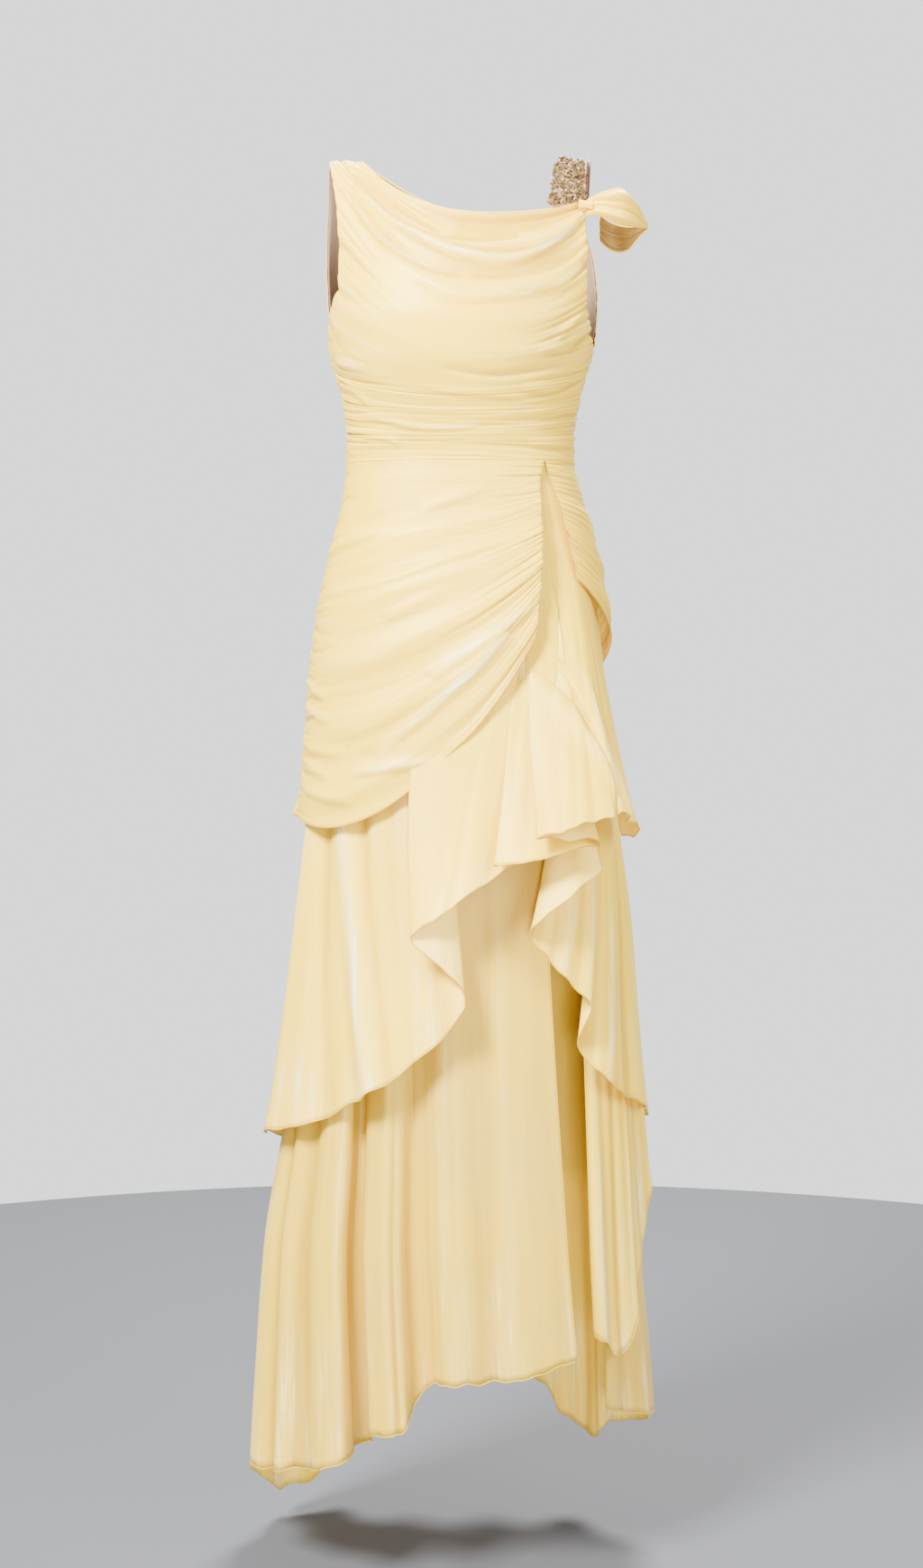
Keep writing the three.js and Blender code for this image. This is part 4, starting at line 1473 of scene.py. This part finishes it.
@dataclass
class SleeveLoop(ClothPiece):
    """The draped loop off the shoulder: a folded band that billows outward."""

    held: Held = Held.GATHERED
    finish: ClothFinish = GATHERED_CHIFFON
    wall: float = SATIN_WALL
    across: int = 44
    steps: int = 14
    knot_from: Triple = (122, -55, -51)
    knot_to: Triple = (138, -55, -51.5)
    knot_radius: float = 6.5
    knot_pleats: int = 7
    knot_steps: int = 24
    knot_sides: int = 84

    def trimmings(self) -> list[Object]:
        """The knot of pinched pleats that holds the loop at the strap.

        Returns:
            The knot alone.
        """
        along = shares(self.knot_steps)[:, None]
        turn = 2 * np.pi * shares(self.knot_sides)[None, :]
        from_middle = np.abs(2 * along - 1)
        pinch = 0.62 + 0.38 * from_middle**1.5
        closed = np.sqrt(unit(1 - from_middle**8))
        pleats = 1 - 0.2 * np.abs(np.cos(0.5 * self.knot_pleats * turn + 1.4 * along)) ** 3
        radius = self.knot_radius * pinch * closed * pleats
        spine = between(np.array(self.knot_from), np.array(self.knot_to), along[..., None])
        ring = np.stack([0 * turn, 0.75 * np.sin(turn), np.cos(turn)], -1)
        knot = Surface(spine + ring * radius[..., None], 1.0)
        return [grid_object("loop_knot", knot, (self.finish,))]

    def surface(self) -> Surface:
        """Billows the band out from its stations.

        Returns:
            The loop's surface.
        """
        fine = curve_through(columns_of(SLEEVE_LOOP), self.steps)
        x, y, top, bottom, billow = fine.T
        way = np.gradient(fine[:, :2], axis=0)
        outward = normalised(np.stack([way[:, 1], -way[:, 0], 0 * x], -1))
        t = shares(self.across)[:, None]
        along = shares(len(x) - 1)[None, :]
        noise = Noise(self.seed)
        gathered = bump(along, 0.2) + bump(along - 1, 0.2)
        pleats = noise.ridges(along * 2 + 2, t * 6 + 0.5 * noise.at(along * 2, t * 2))
        bulge = billow * (np.sin(np.pi * t) + 0.35 * np.sin(3 * np.pi * t))
        bulge = bulge + (0.9 + 1.1 * gathered) * pleats * np.sin(np.pi * t) ** 0.4 + 0.5 * self.wall
        points = np.stack([x + 0 * t, y + 0 * t, between(top, bottom, t)], -1)
        return Surface(points + outward * bulge[..., None], 1.0)


# ---- Strap and beads ----


@dataclass(frozen=True)
class BeadKind:
    """One kind of bead: its look, number, widths, shape, lean and the seed of its places."""

    name: str
    finish: BeadFinish
    count: int
    size: tuple[float, float]
    flatten: float
    raise_by: float
    tilt: float
    seed: int
    stretch: float = 1.0

    RINGS = 6
    SIDES = 9

    def shape(self) -> tuple[Array, list[list[int]]]:
        """A bead about the origin, 1 across and flattened along z.

        Returns:
            Points and faces.
        """
        tip = (np.pi * np.arange(1, self.RINGS) / self.RINGS)[:, None]
        turn = (2 * np.pi * np.arange(self.SIDES) / self.SIDES)[None, :]
        height = self.flatten * np.cos(tip) + 0 * turn
        rings = np.stack([np.sin(tip) * np.cos(turn), np.sin(tip) * np.sin(turn), height], -1)
        pole = np.array([[0, 0, self.flatten]])
        points = 0.5 * np.concatenate([pole, rings.reshape(-1, 3), -pole])
        index = 1 + np.arange(rings[..., 0].size).reshape(rings.shape[:2])
        following = np.roll(index, -1, axis=1)
        faces = quads_between(index, following).tolist()
        faces += [[0, int(a), int(b)] for a, b in zip(index[0], following[0])]
        faces += [[int(b), int(a), len(points) - 1] for a, b in zip(index[-1], following[-1])]
        return points, faces


@dataclass
class Strap(ClothPiece):
    """The beaded strap over the shoulder, with its beads, pearls and sequins."""

    steps: int = 12
    columns: int = 20
    kinds: Sequence[BeadKind] = ()

    TRIES = 6  # places tried for each bead
    JITTER = 0.7
    APART = 0.72  # least distance between two beads, in widths
    BARE_COLUMNS = 3  # columns kept free beside the binding

    def surface(self) -> Surface:
        """Lays the strap over the form.

        Returns:
            The strap's surface.
        """
        fine = curve_through(columns_of(STRAP_ROWS), self.steps)
        t = shares(self.columns)[None, :]
        side, inner_x, inner_z, outer_x, outer_z, inner_out, outer_out = fine.T[..., None]
        x = between(inner_x, outer_x, t)
        z = np.minimum(0, between(inner_z, outer_z, t))
        angle = FORM.angle_at(x, z)
        angle = np.where(side > 0, angle, 180 - angle)
        out = between(inner_out, outer_out, t) + 0.5 * self.wall
        return Surface(FORM.lift(angle, z, out), -1.0)

    def build(self) -> Object:
        """Builds the strap and sews its beads on.

        Returns:
            The strap's cloth.
        """
        cloth = super().build()
        for kind in self.kinds:
            self._scatter(kind)
        return cloth

    def _scatter(self, kind: BeadKind) -> None:
        """Sews one kind of bead over the strap, all in one object.

        Args:
            kind: what the beads are like.
        """
        surface = self.surface()
        grid = surface.grid
        normals = grid_normals(grid, surface.facing)
        rng = np.random.default_rng(kind.seed)
        shape, faces = kind.shape()
        rows, columns = grid.shape[:2]
        placed, points, all_faces = [], [], []
        for _ in range(kind.count * self.TRIES):
            if len(placed) >= kind.count:
                break
            i = int(rng.integers(0, rows))
            j = int(rng.integers(0, columns - self.BARE_COLUMNS))
            width = rng.uniform(*kind.size)
            spot = grid[i, j] + rng.normal(0, self.JITTER, 3)
            if any(np.linalg.norm(spot - other) < self.APART * width for other in placed):
                continue
            up = normalised(normals[i, j] + kind.tilt * rng.normal(0, 1, 3))
            side = normalised(np.cross(up, rng.normal(0, 1, 3)))
            centre = spot + normals[i, j] * (0.5 * CLOTH + kind.raise_by)
            turned = shape @ np.stack([side * kind.stretch, np.cross(up, side), up])
            all_faces += [[len(placed) * len(shape) + k for k in face] for face in faces]
            points.append(centre + width * turned)
            placed.append(spot)
        beads = mesh_object(kind.name, np.concatenate(points), all_faces, (kind.finish,))
        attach(beads, BODY)
        LOG.info("%s: %d beads", kind.name, len(placed))


# ---- Studio ----


@dataclass
class Studio:
    """A plain pale floor, soft lights and the camera, in metres and watts."""

    floor_z: float = -1.49
    floor_radius: float = 1.9
    floor_sides: int = 128
    backdrop: Triple = (0.80, 0.81, 0.83)
    ambient: float = 1.1
    seen_extra: float = 1.05
    aim: Triple = (0, 0, -0.7)
    camera_place: Triple = (0.0, -2.75, -0.519)
    camera_pitch: float = 2.93
    lens: float = 58.66

    def build_stage(self) -> None:
        """Lays the round floor under the dress."""
        turns = 2 * np.pi * np.arange(self.floor_sides) / self.floor_sides
        rim = np.stack([np.cos(turns), np.sin(turns), 0 * turns], -1) * self.floor_radius / MM
        floor = mesh_object("floor", rim, [list(range(self.floor_sides))], (FLOOR_PAINT,))
        floor.location = (0, 0, self.floor_z)

    def light(self, name: str, place: Triple, size: float, watts: float) -> None:
        """Hangs a square soft light that looks at the dress.

        Args:
            name: the light's name.
            place: where it is.
            size: its width.
            watts: its power.
        """
        lamp = bpy.data.lights.new(name, "AREA")
        lamp.size = size
        lamp.energy = watts
        item = bpy.data.objects.new(name, lamp)
        item.location = place
        aim = Vector(self.aim) - Vector(place)
        item.rotation_euler = aim.to_track_quat("-Z", "Y").to_euler()
        bpy.context.scene.collection.objects.link(item)

    def build_surroundings(self) -> None:
        """Lights the scene evenly from all round, a little brighter where it is seen."""
        world = bpy.data.worlds.new("studio")
        bpy.context.scene.world = world
        world.use_nodes = True
        sheet = NodeSheet(world.node_tree)
        seen = sheet.times(sheet.add("ShaderNodeLightPath").outputs[0], self.seen_extra)
        shader = world.node_tree.nodes["Background"]
        sheet.give(shader, {0: self.backdrop, 1: sheet.plus(seen, self.ambient)})

    def build_camera(self) -> None:
        """Sets up the camera and looks through it."""
        lens = bpy.data.cameras.new("camera")
        lens.lens = self.lens
        lens.sensor_width = 36.0
        camera = bpy.data.objects.new("camera", lens)
        camera.location = self.camera_place
        camera.rotation_euler = (math.radians(90 - self.camera_pitch), 0, 0)
        bpy.context.scene.collection.objects.link(camera)
        bpy.context.scene.camera = camera

    def build(self) -> None:
        """Builds the stage, lights, surroundings and camera."""
        self.build_stage()
        self.light("key", (-1.7, -2.4, 1.9), 1.1, 860)
        self.light("fill", (2.3, -2.4, 0.3), 1.7, 130)
        self.light("front", (0.15, -3.1, -0.75), 0.35, 85)
        self.light("back", (0.6, 2.4, 2.2), 1.2, 620)
        self.build_surroundings()
        self.build_camera()


# ---- The dress ----


def upper_pieces() -> Iterable[ClothPiece]:
    """The bodice, its lining, the loop and the hip wrap, from the top down."""
    panel = {"reverse": NUDE_LINING, "rolled": (Side.TOP,), "hem_finish": GATHERED_CHIFFON}
    yield GatheredPiece(
        "bodice_front", (0.36, 0.38), ("bodice_back", "shoulder_strap"), 11, **panel, hem_radius=0.8,
        lines=ruched(BODICE_FRONT_LINES, 6, 3.5, 5, 4), columns=150, steps=10, per_line=0.95,
        seams=(Side.FIRST, Side.LAST), creases=BODICE_CREASES,
        gathers=table_of(
            GatherDepth, (0, 1.8, 0.1, 1.4), (3, 2.0, 0.1, 1.6), (6, 1.0, 0.1, 2.0),
            (9, 2.6, 0.2, 3.2), (12, 3.2, 0.3, 3.8), (18, 3.0, 0.6, 3.6), (22, 1.0, 0.6, 1.0),
        ),
    )
    yield GatheredPiece(
        "bodice_back", (0.34, 0.34), ("bodice_front",), 12, **panel, hem_radius=1.0,
        lines=ruched(BODICE_BACK_LINES, 3, 2.5, 5, 3.5), columns=110, steps=9, per_line=2.0,
        seams=(Side.FIRST, Side.LAST), least_out=1.6,
        gathers=table_of(
            GatherDepth, (0, 0.2, 0.1, 0.2), (4, 1.2, 0.3, 1.2), (7, 2.6, 0.8, 2.6),
            (11, 0.5, 0.5, 0.5),
        ),
    )
    yield GatheredPiece(
        "back_lining", (0.32, 0.31), ("bodice_back",), 13, held=Held.HUNG, slot=Slot.LINING,
        finish=NUDE_LINING, reverse=NUDE_LINING, wall=LINING_WALL, rolled=(),
        lines=lining_lines(BODICE_BACK_LINES), columns=70,
    )
    yield SleeveLoop(
        "sleeve_drape", (0.19, 0.035), ("bodice_front", "bodice_back"), 14, reverse=LOOP_PAINTED_SHADE,
        rolled=(Side.TOP, Side.HEM), hem_finish=GATHERED_CHIFFON,
    )
    wrap = {"rolled": (Side.HEM, Side.LAST), "seams": (Side.FIRST,)}
    yield GatheredPiece(
        "hip_drape_front", (0.36, 0.38), ("bodice_front", "overskirt_left"), 15, **wrap,
        lines=HIP_FRONT.lines(), columns=140, steps=14, per_line=1.7, creases=HIP_CREASES,
        gathers=table_of(
            GatherDepth, (0, 1.0, 0.2, 1.4), (3, 1.6, 0.3, 2.0), (7, 2.4, 0.4, 2.2),
            (12, 4.2, 0.5, 2.0),
        ),
    )
    yield GatheredPiece(
        "hip_drape_back", (0.5, 0.36), ("bodice_back", "overskirt_back"), 16, **wrap,
        lines=HIP_BACK.lines(), columns=190, steps=12, per_line=2.6, along=5.0,
        gathers=table_of(
            GatherDepth, (0, 1.0, 0.3, 1.5), (2, 2.0, 0.7, 2.6), (8, 3.6, 0.9, 2.2),
        ),
    )


def tiers() -> Iterable[ClothPiece]:
    """The hanging tiers, from the waterfall down."""
    yield HangingPiece(
        "cascade", (0.46, 0.43), ("bodice_front", "overskirt_right"), 21, area=0.09,
        finish=CASCADE_CHIFFON_PAINTED_SHADE, stations=CASCADE, base=3 * LAYER, swing=2.3, steps=14,
        upper_share=0.6, ripple=1.2, rolled=(Side.HEM, Side.FIRST, Side.LAST),
        folds=table_of(SideFold, (1, -14, 0.9), (6, -30, 1.0)),
        flutes=table_of(
            Flute, (4.0, -3, 0.5, 0.3), (5.3, 4, 0.5, 0.3, 0.3, 10.4),
            (5.9, -8, 0.22, 0.3, 0, 10.4), (7.4, 3, 0.6, 0.4, 0.6, 8),
        ),
    )
    middle = {"base": 2 * LAYER, "swing": 2.2}
    yield HangingPiece(
        "overskirt_left", (0.61, 0.72), ("bodice_front", "underskirt_front"), 22, area=0.21,
        stations=OVERSKIRT_LEFT, **middle, upper_share=0.2, hem_painted_highlight=0.5,
        folds=table_of(SideFold, (9, -42, 1.0)),
        flutes=table_of(
            Flute, (0.8, 4, 0.35, 0.15, 0.3), (1.7, -8, 0.35, 0.15, 0, 1.4),
            (2.45, 6, 0.3, 0.3, 1.0, 2.5), (3.2, -5, 0.3, 0.15, 0, 2.2),
            (5.0, 3, 0.4, 0.15, 0.3, 0.6), (5.8, -4, 0.35, 0.15, 0, 0.4), (6.5, 3, 0.3, 0.15, 0.4),
        ),
    )
    yield HangingPiece(
        "overskirt_back", (0.68, 0.77), ("bodice_back", "underskirt_back"), 23, area=0.37,
        stations=OVERSKIRT_BACK, **middle, rows=80, upper_share=0.2, ripple=3.0, hem_wave=5.0,
        rolled=(Side.HEM,),
        flutes=table_of(
            Flute, (0.7, 5, 0.2, 0.3, 0.5), (1.3, -5, 0.2, 0.45, 0, 0.2), (2.1, 6, 0.26, 0.25, 0.3),
            (2.6, -6, 0.16, 0.5), (3.4, 7, 0.2, 0.35, 0.6, -0.3), (4.1, -6, 0.22, 0.45),
            (4.9, 5, 0.18, 0.3, 0.3), (5.5, -7, 0.2, 0.5, 0, 0.3), (6.2, 6, 0.24, 0.3, 0.5),
            (7.1, -5, 0.2, 0.45), (7.6, 5, 0.15, 0.4, 0, -0.2), (8.4, -5, 0.2, 0.5),
            (9.2, 5, 0.22, 0.35, 0.4),
        ),
    )
    yield HangingPiece(
        "overskirt_right", (0.45, 0.7), ("bodice_front", "side_fall"), 24, area=0.11,
        stations=OVERSKIRT_RIGHT, **middle, rows=90, upper_share=0.25, ripple=1.6,
        flutes=table_of(
            Flute, (0.8, 4, 0.25, 0.4, 0.4), (1.6, -5, 0.25, 0.5), (2.5, 3, 0.25, 0.5, 0.6),
            (3.3, -3, 0.3, 0.5), (6.4, 3, 0.4, 0.4, 0.4), (8.6, -3, 0.4, 0.4),
        ),
    )
    yield HangingPiece(
        "side_fall", (0.3, 0.95), ("bodice_front", "underskirt_back"), 25, area=0.105,
        stations=SIDE_FALL, base=LAYER, rows=90, upper_share=0.2, hem_painted_highlight=1.0,
        flutes=table_of(
            Flute, (1.4, 3, 0.25, 0.5, 0.3), (2.4, -4, 0.25, 0.5), (3.6, 4, 0.3, 0.5, 0.4),
            (4.8, -4, 0.3, 0.45), (6.2, 4, 0.4, 0.5, 0.5),
        ),
    )
    under = {"finish": UNDER_CHIFFON_PAINTED_SHADE, "reverse": SATIN_REVERSE}
    yield HangingPiece(
        "underskirt_front", (0.41, 1.05), ("bodice_front",), 26, area=0.24, **under,
        stations=UNDERSKIRT_FRONT, hem_painted_highlight=0.4,
        flutes=table_of(
            Flute, (0.9, 4, 0.3, 0.5, 0.3), (2.0, -11, 0.35, 0.3), (3.2, 4, 0.4, 0.5, 0.15),
            (4.8, -3, 0.4, 0.5), (6.4, -4, 0.4, 0.4), (8.4, 3, 0.4, 0.4, 0.1),
            (10.3, -2.5, 0.35, 0.4),
        ),
    )
    yield HangingPiece(
        "underskirt_left", (0.17, 1.07), ("bodice_front", "underskirt_back"), 27, area=0.115,
        **under, stations=UNDERSKIRT_LEFT, steps=24, ripple=1.2, hem_painted_highlight=1.0,
        rolled=(Side.HEM,),
        flutes=table_of(
            Flute, (0.8, 5, 0.4, 0.6, 0.8), (1.7, -9, 0.35, 0.4), (2.5, 4, 0.35, 0.5, 0, 0.2),
            (3.3, -4, 0.3, 0.45),
        ),
    )
    yield HangingPiece(
        "underskirt_back", (0.92, 1.15), ("bodice_back",), 28, area=0.62, **under,
        stations=UNDERSKIRT_BACK, ripple=3.0, hem_wave=5.0, hem_painted_highlight=0.9,
        flutes=table_of(
            Flute, (0.8, 6, 0.2, 0.55, 0.6), (1.4, -7, 0.18, 0.5), (2.2, 5, 0.24, 0.6, 0.4),
            (3.5, -8, 0.2, 0.55, 0, 0.3), (4.4, 6, 0.2, 0.6, 0.6), (5.3, -6, 0.2, 0.5),
            (6.6, 5, 0.26, 0.6, 0.3, -0.3), (7.4, -8, 0.2, 0.55), (8.3, 6, 0.2, 0.6, 0.5),
            (9.5, -6, 0.22, 0.5, 0, 0.2), (10.6, 6, 0.2, 0.6, 0.4), (11.5, -5, 0.18, 0.55),
            (12.6, 4, 0.25, 0.6, 0.5), (13.6, -6, 0.2, 0.5), (14.6, 5, 0.25, 0.65, 0.7),
            (15.3, -4, 0.2, 0.6),
        ),
    )


def beaded_strap() -> Strap:
    """The strap with its beadwork."""
    return Strap(
        "shoulder_strap", (0.037, 0.16), ("bodice_front", "bodice_back"), 1, held=Held.STRETCHED,
        slot=Slot.BEADING, finish=STRAP_NET, reverse=STRAP_NET, wall=BEADED_WALL,
        rolled=(Side.LAST,), hem_radius=2.2, hem_finish=STRAP_BINDING,
        kinds=table_of(
            BeadKind,
            ("strap_petals", GOLD_SEQUIN, 300, (3.2, 5.0), 0.2, 1.8, 0.7, 31, 1.8),
            ("strap_beads", GLASS_BEAD, 260, (1.8, 2.8), 0.9, 1.0, 0.1, 32),
            ("strap_pearls", PEARL, 30, (2.8, 3.8), 1.0, 2.2, 0.0, 33),
        ),
    )


def main() -> None:
    """Builds the dress, its beadwork and the studio."""
    logging.basicConfig(level=logging.INFO, format="%(message)s")
    for piece in (*upper_pieces(), *tiers(), beaded_strap()):
        piece.build()
    Studio().build()


if __name__ == "__main__":
    main()
